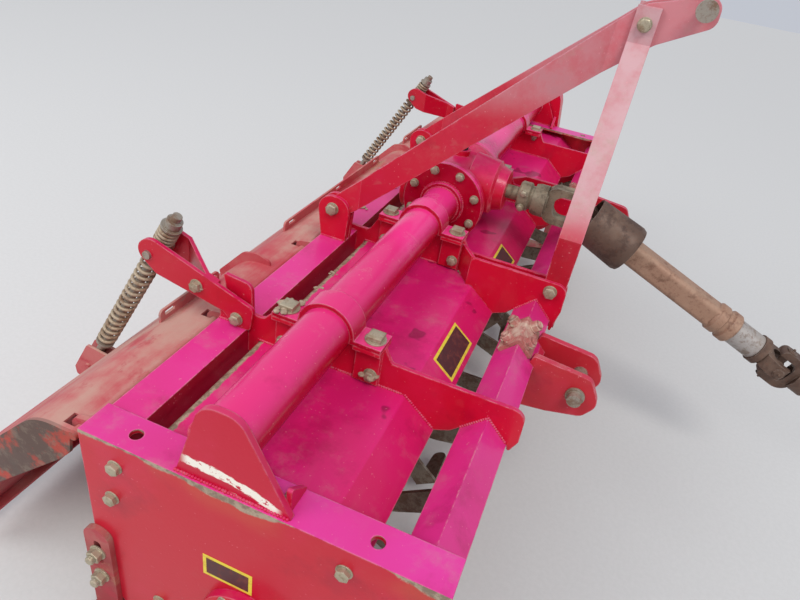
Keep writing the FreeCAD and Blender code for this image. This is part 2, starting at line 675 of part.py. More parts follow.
def skids():
    """Depth skids under the side plates: bent runner, front bracket and slotted rear strip."""
    thick = value["skid_thick"]
    rear = value["plate_rear_x"]
    path = ((rear - 34.0, 74.0), (rear + 26.0, 0.0), (206.0, 0.0), (282.0, 92.0))
    middle = HW - PLATE / 2.0
    for name, side in SIDES:
        runner = prism("y", strip(path, thick, 40.0),
                       middle - value["skid_wide"] / 2.0, middle + value["skid_wide"] / 2.0)
        strip_plate = prism("y", (
            (rear - 16.0, 43.0, 0.0), (rear + 10.0, thick - 2.0, 0.0), (rear + 34.0, thick - 2.0, 0.0),
            (rear + 34.0, 318.0, 24.0), (rear - 16.0, 318.0, 24.0)), HW, HW + 10.0)
        slot = prism("y", ((rear + 2.0, 232.0, 6.9), (rear + 16.0, 232.0, 6.9),
                           (rear + 16.0, 288.0, 6.9), (rear + 2.0, 288.0, 6.9)), HW - 1.0, HW + 11.0)
        front_plate = prism("y", (
            (192.0, thick - 2.0, 0.0), (206.0, thick - 2.0, 0.0), (252.0, 62.0, 0.0),
            (246.0, 200.0, 20.0), (192.0, 200.0, 20.0)), HW, HW + 10.0)
        skid = runner.fuse([strip_plate.cut(slot), front_plate])
        add("skid_" + name, on_side(skid.removeSplitter(), side))


def blade():
    """Left-hand L-shaped tine for a disc face at y 0, standing on the z axis."""
    inside = value["swing_radius"] - value["blade_thick"] - 1.0
    lead = V(-8.0, 0.0, math.sqrt(inside ** 2 - 8.0 ** 2))
    trail = V(-62.0, 0.0, math.sqrt(inside ** 2 - 62.0 ** 2))
    root = ((-19.0, 56.0, 0.0), (19.0, 56.0, 0.0), (22.0, 124.0, 90.0),
            (lead.x, lead.z, 0.0), (trail.x, trail.z, 0.0), (-20.0, 118.0, 90.0))
    stem = prism("y", root, 0.0, value["blade_thick"])
    wide = (trail - lead).Length
    along = (trail - lead).normalize()
    outward = V(along.z, 0.0, -along.x)
    reach = value["blade_reach"]
    place = lambda p: lead + along * p.x + V(0, 1, 0) * p.y
    corners = ((0.0, 0.0, 0.0), (wide, 0.0, 0.0), (wide - 3.0, reach, 20.0), (16.0, reach, 12.0))
    edges = rounded_edges(corners, place)
    tip = Part.Face(Part.Wire(Part.__sortEdges__(edges))).extrude(outward * value["blade_thick"])
    return stem.fuse(tip).removeSplitter()


def rotor():
    """Rotor tube with end stubs, its discs and the spiral of left and right hand tines."""
    gap = value["rotor_end_gap"]
    end = INNER_Y - gap
    tube = rod_y(ROTOR_X, ROTOR_Z, value["rotor_tube_radius"], -end, end)
    hubs = []
    for side in (-1.0, 1.0):
        stub_end = HW + 32.0
        low, high = sorted((side * (end - 1.0), side * stub_end))
        hubs.append(rod_y(ROTOR_X, ROTOR_Z, value["stub_radius"], low, high))
        low, high = sorted((side * end, side * (end + 12.0)))
        hubs.append(rod_y(ROTOR_X, ROTOR_Z, 62.0, low, high))
    add("rotor_tube", tube.fuse(hubs).removeSplitter())
    count = int(value["disc_count"])
    thick = value["disc_thick"]
    first = end - 25.0
    pitch = 2.0 * first / (count - 1)
    discs = []
    blades = {"left": [], "right": []}
    left_blade = blade()
    right_blade = mirror_y(left_blade)
    for index in range(count):
        y = -first + index * pitch
        disc = rod_y(ROTOR_X, ROTOR_Z, value["disc_radius"], y - thick / 2.0, y + thick / 2.0)
        discs.append(disc.cut(rod_y(ROTOR_X, ROTOR_Z, value["rotor_tube_radius"], y - 20.0, y + 20.0)))
        for step in range(6):
            hand = "left" if step % 2 == 0 else "right"
            if (index == 0 and hand == "right") or (index == count - 1 and hand == "left"):
                continue
            angle = step * 60.0 + index * 17.0
            tine = (left_blade if hand == "left" else right_blade).copy()
            tine.rotate(V(0, 0, 0), V(0, 1, 0), angle)
            face = thick / 2.0 if hand == "left" else -thick / 2.0
            tine.translate(V(ROTOR_X, y + face, ROTOR_Z))
            blades[hand].append(tine)
    add("rotor_discs", Part.makeCompound(discs))
    for hand in ("left", "right"):
        add("tines_%s_hand" % hand, Part.makeCompound(blades[hand]))


HINGE_BRACKETS = (0.0, 330.0, 676.0, 1008.0)
# The board's outlines, from its hinge x and its top level.
BOARD_PATH = ((0.0, 0.0), (-72.0, 0.0), (-257.0, -185.0), (-342.0, -432.0))
BOARD_CHEEK = ((-3.0, -3.0, 0.0), (-70.8, -3.0, 78.0), (-254.2, -186.4, 78.0), (-333.0, -416.0, 0.0),
               (-300.0, -398.0, 0.0), (-250.0, -275.0, 20.0), (-192.0, -217.0, 30.0),
               (-33.0, -72.0, 20.0), (-10.0, -46.0, 10.0))
BOARD_ARCH = ((-12.0, -3.0, 0.0), (-37.0, -3.0, 0.0), (-68.0, -9.5, 0.0), (-97.0, -29.5, 0.0),
              (-140.0, -72.0, 0.0), (-146.0, -56.0, 6.0), (-84.0, 12.0, 30.0), (-50.0, 21.0, 40.0),
              (-16.0, 10.0, 8.0))
# Each lip: its two ends along y and the middles of its slots.
BOARD_LIPS = ((-735.0, -550.0, (-708.0, -572.0)), (-276.0, 322.0, (-242.0, 23.0, 288.0)),
              (550.0, 735.0, (572.0, 708.0)))


def off_hinge(corners):
    """Corners given from the board's hinge and top level, in the layout's frame."""
    return [(value["board_hinge_x"] + u, BOARD_TOP + v, radius) for u, v, radius in corners]


def board_sheet(low, high):
    """The levelling board's bent sheet between two values along y."""
    path = [(u, v) for u, v, _ in off_hinge([(u, v, 0.0) for u, v in BOARD_PATH])]
    return prism("y", strip(path, value["board_thick"], 80.0), low, high)


def slotted_lip(low, high, slots):
    """Low upright strip across the board's shoulder, with its adjusting slots."""
    rear = value["board_hinge_x"] - 86.0
    lip = prism("x", ((low, BOARD_TOP - 20.0, 0.0), (high, BOARD_TOP - 20.0, 0.0),
                      (high, BOARD_TOP + 12.0, 10.0), (low, BOARD_TOP + 12.0, 10.0)), rear, rear + 5.0)
    for y in slots:
        lip = lip.cut(prism("x", ((y - 15.0, BOARD_TOP - 2.5, 4.4), (y + 15.0, BOARD_TOP - 2.5, 4.4),
                                  (y + 15.0, BOARD_TOP + 6.5, 4.4), (y - 15.0, BOARD_TOP + 6.5, 4.4)),
                            rear - 1.0, rear + 6.0))
    return lip


def bracket_places():
    """Middle of each hinge bracket along y."""
    return sorted({side * y for y in HINGE_BRACKETS for side in (-1.0, 1.0)})


def trailing_board():
    """Curved levelling board behind the rotor, hung on a hinge rod, with its slotted lips."""
    hinge_x = value["board_hinge_x"]
    half = value["board_half"]
    radius = value["hinge_pin_radius"]
    low_edge = box((hinge_x - 342.0, hinge_x - 312.0), (-half, half), (BOARD_TOP - 432.0, BOARD_TOP - 426.0))
    rod = rod_y(hinge_x, HINGE_Z, radius, -half, half)
    parts = [low_edge, rod]
    for side in (-1.0, 1.0):
        cheek_y = sorted((side * (half - 6.0), side * half))
        parts.append(prism("y", off_hinge(BOARD_CHEEK), cheek_y[0], cheek_y[1]))
        arch_y = sorted((side * 452.0, side * 458.0))
        parts.append(prism("y", off_hinge(BOARD_ARCH), arch_y[0], arch_y[1]))
    for low, high, slots in BOARD_LIPS:
        parts.append(slotted_lip(low, high, slots))
    board = board_sheet(-half, half).fuse(parts)
    for centre in bracket_places():
        notch = box((hinge_x - 27.0, hinge_x + 30.0), (centre - 11.0, centre + 11.0),
                    (HINGE_Z + 1.0, BOARD_TOP + 4.0))
        board = board.cut(notch.cut(rod_y(hinge_x, HINGE_Z, radius, -half, half)))
    add("trailing_board", board.removeSplitter())
    rear = value["plate_rear_x"]
    brackets = []
    for centre in bracket_places():
        ear = prism("y", ((rear, HINGE_Z - 17.0, 0.0), (rear, HINGE_Z + 26.0, 0.0),
                          (hinge_x - 17.0, HINGE_Z + 17.0, 17.0), (hinge_x - 17.0, HINGE_Z - 17.0, 16.9)),
                    centre - 5.0, centre + 5.0)
        hole = rod_y(hinge_x, HINGE_Z, radius + value["shaft_gap"], centre - 8.0, centre + 8.0)
        brackets.append(ear.cut(hole))
    add("hinge_brackets", Part.makeCompound(brackets))


def lever_y():
    """Middle of the gap between a lever's two plates."""
    half = value["rib_thick"] / 2.0
    return value["outer_rib_y"] + half - value["lever_gap"] / 2.0


def levers():
    """Pair of plates at each outer rib that reach back over the board to the trunnion."""
    tip_x = value["lever_tip_x"]
    thick = value["lever_thick"]
    rib_out = value["outer_rib_y"] + value["rib_thick"] / 2.0
    tip_in = rib_out - value["lever_gap"]
    corners = ((-186.0, FLANGE_LOW, 0.0), (-152.0, FLANGE_LOW, 8.0), (-146.0, FLANGE_LOW + 48.0, 10.0),
               (tip_x + 2.0, LEVER_Z + 38.0, 30.0), (tip_x - 32.0, LEVER_Z + 6.0, 24.0),
               (tip_x + 16.0, LEVER_Z - 34.0, 16.0), (-208.0, FLANGE_LOW + 23.0, 12.0))
    plan = prism("z", strip(((tip_x - 60.0, tip_in), (tip_x + 45.0, tip_in), (-250.0, rib_out),
                             (-224.0, rib_out)), -thick), FLANGE_LOW - 50.0, LEVER_Z + 100.0)
    outer = prism("y", corners, rib_out, rib_out + thick)
    inner = prism("y", corners, tip_in - 40.0, rib_out).common(plan)
    hole = rod_y(tip_x, LEVER_Z, 8.0 + value["shaft_gap"], tip_in - 60.0, rib_out + 60.0)
    for name, side in SIDES:
        add("board_lever_" + name, on_side(Part.makeCompound([outer.cut(hole), inner.cut(hole)]), side))


def rod_line():
    """Eye of the spring rod, its trunnion centre and the unit direction between them."""
    eye = V(value["rod_eye_x"], lever_y(), EYE_Z)
    trunnion = V(value["lever_tip_x"], lever_y(), LEVER_Z)
    return eye, trunnion, (trunnion - eye).normalize()


def linkage():
    """Trunnions, spring rods and springs that hold the board down, and the board's brackets."""
    eye, trunnion, along = rod_line()
    radius = value["rod_radius"]
    half_gap = value["lever_gap"] / 2.0
    run = (trunnion - eye).Length
    seat = value["seat_reach"]
    wide = value["spring_radius"]
    y = lever_y()
    block = rod_y(trunnion.x, trunnion.z, 15.0, y - half_gap + 0.5, y + half_gap - 0.5)
    pin_half = half_gap + value["lever_thick"] + 5.0
    pin = rod_y(trunnion.x, trunnion.z, 8.0, y - pin_half, y + pin_half)
    hole = rod_between(trunnion - along * 60.0, trunnion + along * 60.0, radius + value["shaft_gap"])
    trunnion_shape = block.fuse(pin).cut(hole).removeSplitter()
    bar = rod_between(eye + along * 13.0, trunnion + along * value["rod_over"], radius)
    ring = rod_y(eye.x, eye.z, 18.0, y - 6.0, y + 6.0)
    seat_disc = rod_between(eye + along * (seat - 6.0), eye + along * seat, wide - 1.0)
    washer = rod_between(trunnion + along * 58.0, trunnion + along * 62.0, wide)
    nut = rod_between(trunnion + along * 62.0, trunnion + along * 78.0, 15.0)
    rod = bar.fuse([ring, seat_disc, washer, nut])
    rod = rod.cut(rod_y(eye.x, eye.z, 11.5, y - 8.0, y + 8.0)).removeSplitter()
    long_spring = spring_sleeve(eye + along * (seat + 0.3), along, run - seat - 17.0, 9)
    short_spring = spring_sleeve(trunnion + along * 16.0, along, 41.7, 3)
    ear_corners = ((eye.x + 61.0, eye.z + 50.0, 0.0), (eye.x + 4.0, eye.z + 58.0, 6.0),
                   (eye.x - 39.0, eye.z - 18.0, 6.0), (eye.x - 37.0, eye.z - 40.0, 6.0),
                   (eye.x + 26.0, eye.z - 44.0, 0.0))
    ears = [prism("y", ear_corners, y + low, y + low + 6.0) for low in (-15.0, 9.0)]
    bracket = rod_y(eye.x, eye.z, 6.0, y - 20.0, y + 20.0).fuse(ears)
    bracket = bracket.cut(board_sheet(y - 40.0, y + 40.0)).removeSplitter()
    bracket = max(bracket.Solids, key=lambda solid: solid.Volume)
    for name, side in SIDES:
        add("trunnion_" + name, on_side(trunnion_shape, side))
        add("spring_rod_" + name, on_side(rod, side))
        add("spring_long_" + name, on_side(long_spring, side))
        add("spring_short_" + name, on_side(short_spring, side))
        add("board_bracket_" + name, on_side(bracket, side))


def spring_sleeve(base, along, length, turns):
    """Closed ring-ribbed sleeve of a coil spring's outer shape along a rod."""
    wire = value["spring_wire"]
    inner = value["rod_radius"] + 1.0
    outer = value["spring_radius"]
    pitch = length / turns
    points = [(inner, 0.0), (outer, 0.0)]
    for index in range(turns):
        low = index * pitch
        points.append((outer, low + wire))
        points.append((outer - wire * 0.7, low + pitch * 0.5 + wire * 0.25))
        if index < turns - 1:
            points.append((outer, low + pitch))
    points.append((outer, length))
    points.append((inner, length))
    wire_loop = Part.makePolygon([V(r, 0, h) for r, h in points + points[:1]])
    sleeve = Part.Face(wire_loop).revolve(V(0, 0, 0), V(0, 0, 1), 360.0)
    sleeve.Placement = FreeCAD.Placement(base, FreeCAD.Rotation(V(0, 0, 1), along))
    return sleeve


def lay_on_line(shape, start, along):
    """Shape drawn along x from 0, laid on a line that starts at a point."""
    placed = shape.copy()
    placed.Placement = FreeCAD.Placement(start, FreeCAD.Rotation(V(1, 0, 0), along))
    return placed


def yoke(back, neck_end, arms_up, direction, slot_round=16.0):
    """Universal joint yoke bent like a U about the joint centre at x 0, with its round neck."""
    whole = prism("y", ((-19.0, -47.0, 13.0), (back, -47.0, 34.0), (back, 47.0, 34.0),
                        (-19.0, 47.0, 13.0)), -18.0, 18.0)
    inside = back - 26.0
    slot = prism("y", ((-20.0, -29.0, 0.0), (inside, -29.0, slot_round), (inside, 29.0, slot_round),
                       (-20.0, 29.0, 0.0)), -19.0, 19.0)
    neck = Part.makeCylinder(30.0, neck_end - back + 10.0, V(back - 10.0, 0, 0), V(1, 0, 0))
    bore = Part.makeCylinder(10.0 + value["shaft_gap"], 120.0, V(0, 0, -60.0))
    whole = whole.fuse(neck).cut([slot, bore])
    if not arms_up:
        whole.rotate(V(0, 0, 0), V(1, 0, 0), 90.0)
    if direction < 0:
        whole = whole.mirror(V(0, 0, 0), V(1, 0, 0))
    return whole.removeSplitter()


def turned(profile):
    """Solid of revolution about the x axis from (x, radius) points."""
    wire = Part.makePolygon([V(x, 0, r) for x, r in profile + profile[:1]])
    return Part.Face(wire).revolve(V(0, 0, 0), V(1, 0, 0), 360.0)


def joint_cross():
    """Cross of a universal joint: a pin along y, a fixed pin along z and the ball between."""
    cross = Part.makeCylinder(10.0, 92.0, V(0, -46.0, 0), V(0, 1, 0))
    upright_pin = Part.makeCylinder(10.0 + value["shaft_gap"], 92.0, V(0, 0, -46.0))
    return cross.fuse([upright_pin, Part.makeSphere(17.0)]).removeSplitter()


def driveline():
    """Drive shaft in its working line, hinged at the joint ahead of the gearbox."""
    joint = V(value["joint_x"], 0.0, TUBE_Z + value["input_lift"])
    lean = math.radians(value["drive_lean"])
    along = V(math.cos(lean), 0.0, -math.sin(lean))
    nose = 134.0
    first = yoke(90.0, 150.0, True, -1.0, 24.0)
    clamp = turned(((-154.0, 0.0), (-154.0, 32.0), (-150.0, 36.0), (-128.0, 36.0), (-124.0, 32.0),
                    (-124.0, 0.0)))
    rings = turned(((-116.0, 0.0), (-116.0, 37.0), (-104.0, 40.0), (-84.0, 40.0), (-84.0, 0.0)))
    first = first.fuse([clamp, rings])
    first.translate(joint)
    shaft = Part.makeCylinder(value["input_radius"], joint.x - 140.0 - nose, V(nose, 0, joint.z), V(1, 0, 0))
    add("input_yoke", first.fuse(shaft).removeSplitter())
    front_cross = joint_cross()
    front_cross.translate(joint)
    add("joint_cross", front_cross)
    line = lambda shape, at: lay_on_line(shape, joint + along * at, along)
    add("shaft_yoke", line(yoke(70.0, 149.0, False, 1.0), 0.0))
    rim = value["bell_radius"]
    bell = turned(((30.0, rim - 8.0), (30.0, rim - 4.0), (148.0, rim), (157.0, rim - 3.0), (157.0, 0.0),
                   (149.0, 0.0), (149.0, rim - 5.0)))
    add("shaft_bell", line(bell, 0.0))
    half = value["drive_tube_half"]
    outer = prism("x", ((-half, -half, 14.0), (half, -half, 14.0), (half, half, 14.0), (-half, half, 14.0)),
                  157.0, 440.0)
    collar = turned(((412.0, 0.0), (412.0, half + 2.0), (420.0, half + 9.0), (438.0, half + 9.0),
                     (442.0, half + 6.0), (450.0, half + 6.0), (454.0, half + 11.0),
                     (472.0, half + 11.0), (476.0, half + 8.0), (476.0, 0.0)))
    add("shaft_outer_tube", line(outer.fuse(collar).removeSplitter(), 0.0))
    second = value["drive_reach"]
    neck = 66.0
    inner = Part.makeCylinder(value["drive_inner_radius"], second - neck - 476.0, V(476.0, 0, 0), V(1, 0, 0))
    add("shaft_inner_tube", line(inner, 0.0))
    rear_ring = turned(((-neck, 0.0), (-neck, 37.0), (-neck + 18.0, 37.0), (-neck + 18.0, 0.0)))
    rear = yoke(50.0, neck, False, -1.0).fuse([rear_ring, joint_cross()]).removeSplitter()
    add("rear_yoke", line(rear, second))
    bore = Part.makeCylinder(value["input_radius"] + 0.05, 80.0, V(20.0, 0, 0), V(1, 0, 0))
    add("tractor_yoke", line(yoke(60.0, 92.0, True, 1.0).cut(bore).removeSplitter(), second))


def check_and_export():
    """Stop on any failed object, centre the model and write each sub-part."""
    document.recompute()
    for item in document.Objects:
        if "Invalid" in item.State or "Error" in item.State:
            raise RuntimeError("failed object: " + item.Label)
    whole = FreeCAD.BoundBox()
    for item in pieces:
        if item.Shape.isNull() or not item.Shape.isValid():
            raise RuntimeError("bad shape: " + item.Label)
        whole.add(item.Shape.BoundBox)
    shift = V(-(whole.XMin + whole.XMax) / 2.0, -(whole.YMin + whole.YMax) / 2.0, 0.0)
    os.makedirs("parts", exist_ok=True)
    for item in pieces:
        item.Placement = FreeCAD.Placement(shift, FreeCAD.Rotation()).multiply(item.Placement)
    document.recompute()
    for item in pieces:
        item.Shape.exportStep("parts/" + item.Label + ".step")
    print("pieces", len(pieces), "shift", round(shift.x, 3), round(shift.y, 3))
    print("box", round(whole.XLength, 1), round(whole.YLength, 1), round(whole.ZLength, 1), "low", whole.ZMin)


def main():
    """Build every sub-part in order."""
    side_plates()
    end_plates()
    main_tubes()
    gearbox()
    ribs()
    tube_straps()
    beams()
    hood()
    lower_hitches()
    mast()
    bearing_and_case()
    skids()
    rotor()
    trailing_board()
    levers()
    linkage()
    driveline()
    check_and_export()


main()
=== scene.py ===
"""Looks of a rotary tiller, built round its packed construction model.

Lengths in the classes are in millimetres, measured as on the machine: ahead of the middle of
the cross tube, to the left of the machine's middle and above the floor. Station turns them
into the frame's metres.
"""
import json
import logging
import math
import random
from contextlib import contextmanager
from dataclasses import dataclass, field
from enum import Enum
from typing import Any, Callable, Iterable, Iterator, Optional, Sequence

import bmesh
import bpy
from mathutils import Matrix, Vector


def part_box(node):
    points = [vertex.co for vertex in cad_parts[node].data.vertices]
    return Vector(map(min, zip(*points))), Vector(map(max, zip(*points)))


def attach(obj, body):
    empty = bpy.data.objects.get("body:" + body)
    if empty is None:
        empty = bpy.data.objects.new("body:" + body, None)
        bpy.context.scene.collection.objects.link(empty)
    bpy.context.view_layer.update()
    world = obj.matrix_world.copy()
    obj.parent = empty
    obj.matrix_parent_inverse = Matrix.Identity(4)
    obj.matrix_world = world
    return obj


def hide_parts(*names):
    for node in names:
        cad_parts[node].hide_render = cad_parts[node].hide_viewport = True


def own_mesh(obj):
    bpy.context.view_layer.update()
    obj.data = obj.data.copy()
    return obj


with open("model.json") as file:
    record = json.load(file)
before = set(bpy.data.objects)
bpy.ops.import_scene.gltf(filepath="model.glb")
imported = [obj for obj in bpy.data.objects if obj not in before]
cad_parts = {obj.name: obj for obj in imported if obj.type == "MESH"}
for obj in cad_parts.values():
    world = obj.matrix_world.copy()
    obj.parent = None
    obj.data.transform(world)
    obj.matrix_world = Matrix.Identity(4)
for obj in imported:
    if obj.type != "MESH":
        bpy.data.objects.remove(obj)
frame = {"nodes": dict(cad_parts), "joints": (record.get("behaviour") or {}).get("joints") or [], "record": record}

log = logging.getLogger("tiller")

MM = 0.001
FAR = 9.0  # metres, outside the machine: a limit that is never met
SUNK = -0.2 * MM  # how far small parts reach into what they sit on
SIDES = (("right", -1.0), ("left", 1.0))
Colour = tuple[float, float, float]
Piece = bpy.types.Object
Material = bpy.types.Material
JOINTS = {joint["name"]: joint for joint in frame["joints"]}
ROTOR = JOINTS["rotor_spin"]["pos_m"]


def srgb(red: int, green: int, blue: int) -> Colour:
    """Turn a colour as seen on a screen into the shader's linear values."""
    shares = [level / 255.0 for level in (red, green, blue)]
    return tuple(share / 12.92 if share <= 0.04045 else ((share + 0.055) / 1.055) ** 2.4
                 for share in shares)


class Station:
    """Places on the machine, measured from its cross tube and the floor."""

    def __init__(self) -> None:
        """Read the cross tube's place from the frame."""
        low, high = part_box("main_tube_right")
        self.ahead = (low.x + high.x) / 2.0
        self.height = (low.z + high.z) / 2.0 / MM
        self.middle = (low.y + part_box("main_tube_left")[1].y) / 2.0

    def at(self, x: float, y: float, z: float) -> Vector:
        """Give the frame's point for a place on the machine.

        Args:
            x: Millimetres ahead of the cross tube's middle.
            y: Millimetres to the machine's left.
            z: Millimetres above the floor.

        Returns:
            The point in metres, in the frame.
        """
        return Vector((x * MM + self.ahead, y * MM + self.middle, z * MM))


PLACE = Station()


class Value:
    """A shader value that takes part in sums and products."""

    def __init__(self, sheet: "ShaderSheet", socket: bpy.types.NodeSocket) -> None:
        """Wrap a socket of a sheet."""
        self.sheet = sheet
        self.socket = socket

    def _math(self, kind: str, first: Any, second: Any) -> "Value":
        """Add one Math node for two values."""
        return self.sheet.put("ShaderNodeMath", {"operation": kind}, {0: first, 1: second})

    def __add__(self, other: Any) -> "Value":
        """Sum."""
        return self._math("ADD", self, other)

    def __sub__(self, other: Any) -> "Value":
        """Difference."""
        return self._math("SUBTRACT", self, other)

    def __rsub__(self, other: Any) -> "Value":
        """Difference, number first."""
        return self._math("SUBTRACT", other, self)

    def __mul__(self, other: Any) -> "Value":
        """Product."""
        return self._math("MULTIPLY", self, other)

    __radd__ = __add__
    __rmul__ = __mul__

    def maximum(self, other: Any) -> "Value":
        """The larger of two values."""
        return self._math("MAXIMUM", self, other)

    def ramp(self, low: float, high: float) -> "Value":
        """Smooth step from 0 at low to 1 at high."""
        settings = {"interpolation_type": "SMOOTHSTEP", "clamp": True}
        return self.sheet.put("ShaderNodeMapRange", settings,
                              {"Value": self, "From Min": low, "From Max": high})


class ShaderSheet:
    """Node tree of one material, written as expressions."""

    def __init__(self, name: str) -> None:
        """Start an empty material of that name."""
        self.material = bpy.data.materials.new("look_" + name)
        self.material.use_nodes = True
        self.tree = self.material.node_tree
        self.tree.nodes.clear()
        self.place = self.put("ShaderNodeTexCoord", output="Object")
        self.facing = self.put("ShaderNodeTexCoord", output="Normal")

    def put(self, kind: str, settings: Optional[dict] = None, values: Optional[dict] = None,
            output: Any = 0) -> Value:
        """Add a node, set it up and give one of its outputs.

        Args:
            kind: The node's type.
            settings: The node's own settings, set before its sockets.
            values: Numbers, colours or Values for its input sockets.
            output: Name or number of the output socket.

        Returns:
            The output as a Value.
        """
        node = self.tree.nodes.new(kind)
        for key, setting in (settings or {}).items():
            setattr(node, key, setting)
        for key, given in (values or {}).items():
            if isinstance(given, Value):
                self.tree.links.new(given.socket, node.inputs[key])
            else:
                node.inputs[key].default_value = given
        return Value(self, node.outputs[output])

    def noise(self, scale: float, detail: float = 3.0, rough: float = 0.5,
              stretch: Optional[tuple] = None) -> Value:
        """Noise over the object place.

        Args:
            scale: Grains in a metre.
            detail: How many finer layers are added.
            rough: How strong each finer layer is.
            stretch: Factor along each axis.

        Returns:
            The noise, about 0.3 to 0.7.
        """
        place = self.place
        if stretch:
            place = self.put("ShaderNodeMapping", None, {"Vector": place, "Scale": stretch})
        return self.put("ShaderNodeTexNoise", None,
                        {"Vector": place, "Scale": scale, "Detail": detail, "Roughness": rough})

    def part(self, whole: Value, number: int) -> Value:
        """One of the three parts of a vector."""
        return self.put("ShaderNodeSeparateXYZ", None, {0: whole}, output=number)

    def level(self) -> Value:
        """How far a face looks up, from -1 to 1."""
        return self.part(self.facing, 2)

    def height(self) -> Value:
        """Height above the floor in metres."""
        return self.part(self.place, 2)

    def ahead(self) -> Value:
        """Distance ahead of the cross tube in metres."""
        return self.part(self.place, 0) - PLACE.ahead

    def aside(self) -> Value:
        """Distance from the machine's middle in metres, to either side."""
        across = self.part(self.place, 1) - PLACE.middle
        return self.put("ShaderNodeMath", {"operation": "ABSOLUTE"}, {0: across})

    def mix(self, share: Any, first: Any, second: Any) -> Value:
        """Mix two colours by a share."""
        def colour(given: Any) -> Any:
            """Plain colours get their fourth channel."""
            return given if isinstance(given, Value) else (*given, 1.0)
        return self.put("ShaderNodeMix", {"data_type": "RGBA", "clamp_factor": True},
                        {0: share, 6: colour(first), 7: colour(second)}, output=2)

    def coats(self, colour: Any, *layers: tuple[Any, Any]) -> Value:
        """Lay coats over a colour, each given as its share and its own colour."""
        for share, coat in layers:
            colour = self.mix(share, colour, coat)
        return colour

    def edges(self, radius: float) -> Value:
        """Share of wear near sharp edges, from the rounded normal."""
        rounded = self.put("ShaderNodeBevel", {"samples": 6}, {"Radius": radius})
        plain = self.put("ShaderNodeNewGeometry", output="Normal")
        match = self.put("ShaderNodeVectorMath", {"operation": "DOT_PRODUCT"},
                         {0: rounded, 1: plain}, output="Value")
        return (1.0 - match).ramp(0.004, 0.12)

    def finish(self, colour: Any, rough: Any, metal: Any = 0.0, coat: float = 0.0,
               bump: Optional[Value] = None, strength: float = 0.2, depth: float = 0.001,
               soften: float = 0.0, gleam: float = 0.5) -> Material:
        """Close the sheet with its surface shader.

        Args:
            colour: Base colour.
            rough: Roughness.
            metal: Share of metal.
            coat: Weight of the clear coat.
            bump: Height that disturbs the surface.
            strength: How much of the bump shows.
            depth: Height of the bump in metres.
            soften: Radius that rounds edges in the shading, in metres.
            gleam: Level of the plain reflection.

        Returns:
            The material.
        """
        values: dict[str, Any] = {"Roughness": rough, "Metallic": metal, "Coat Weight": coat,
                                  "Coat Roughness": 0.12, "Specular IOR Level": gleam}
        values["Base Color"] = colour if isinstance(colour, Value) else (*colour, 1.0)
        if bump is not None:
            parts: dict[str, Any] = {"Strength": strength, "Distance": depth, "Height": bump}
            if soften > 0.0:
                parts["Normal"] = self.put("ShaderNodeBevel", {"samples": 4}, {"Radius": soften})
            values["Normal"] = self.put("ShaderNodeBump", None, parts)
        surface = self.put("ShaderNodeBsdfPrincipled", None, values)
        node = self.tree.nodes.new("ShaderNodeOutputMaterial")
        self.tree.links.new(surface.socket, node.inputs["Surface"])
        return self.material


DUST = srgb(172, 156, 138)
SOIL = srgb(122, 100, 76)
BARE = srgb(150, 140, 132)
RUST = srgb(104, 62, 40)


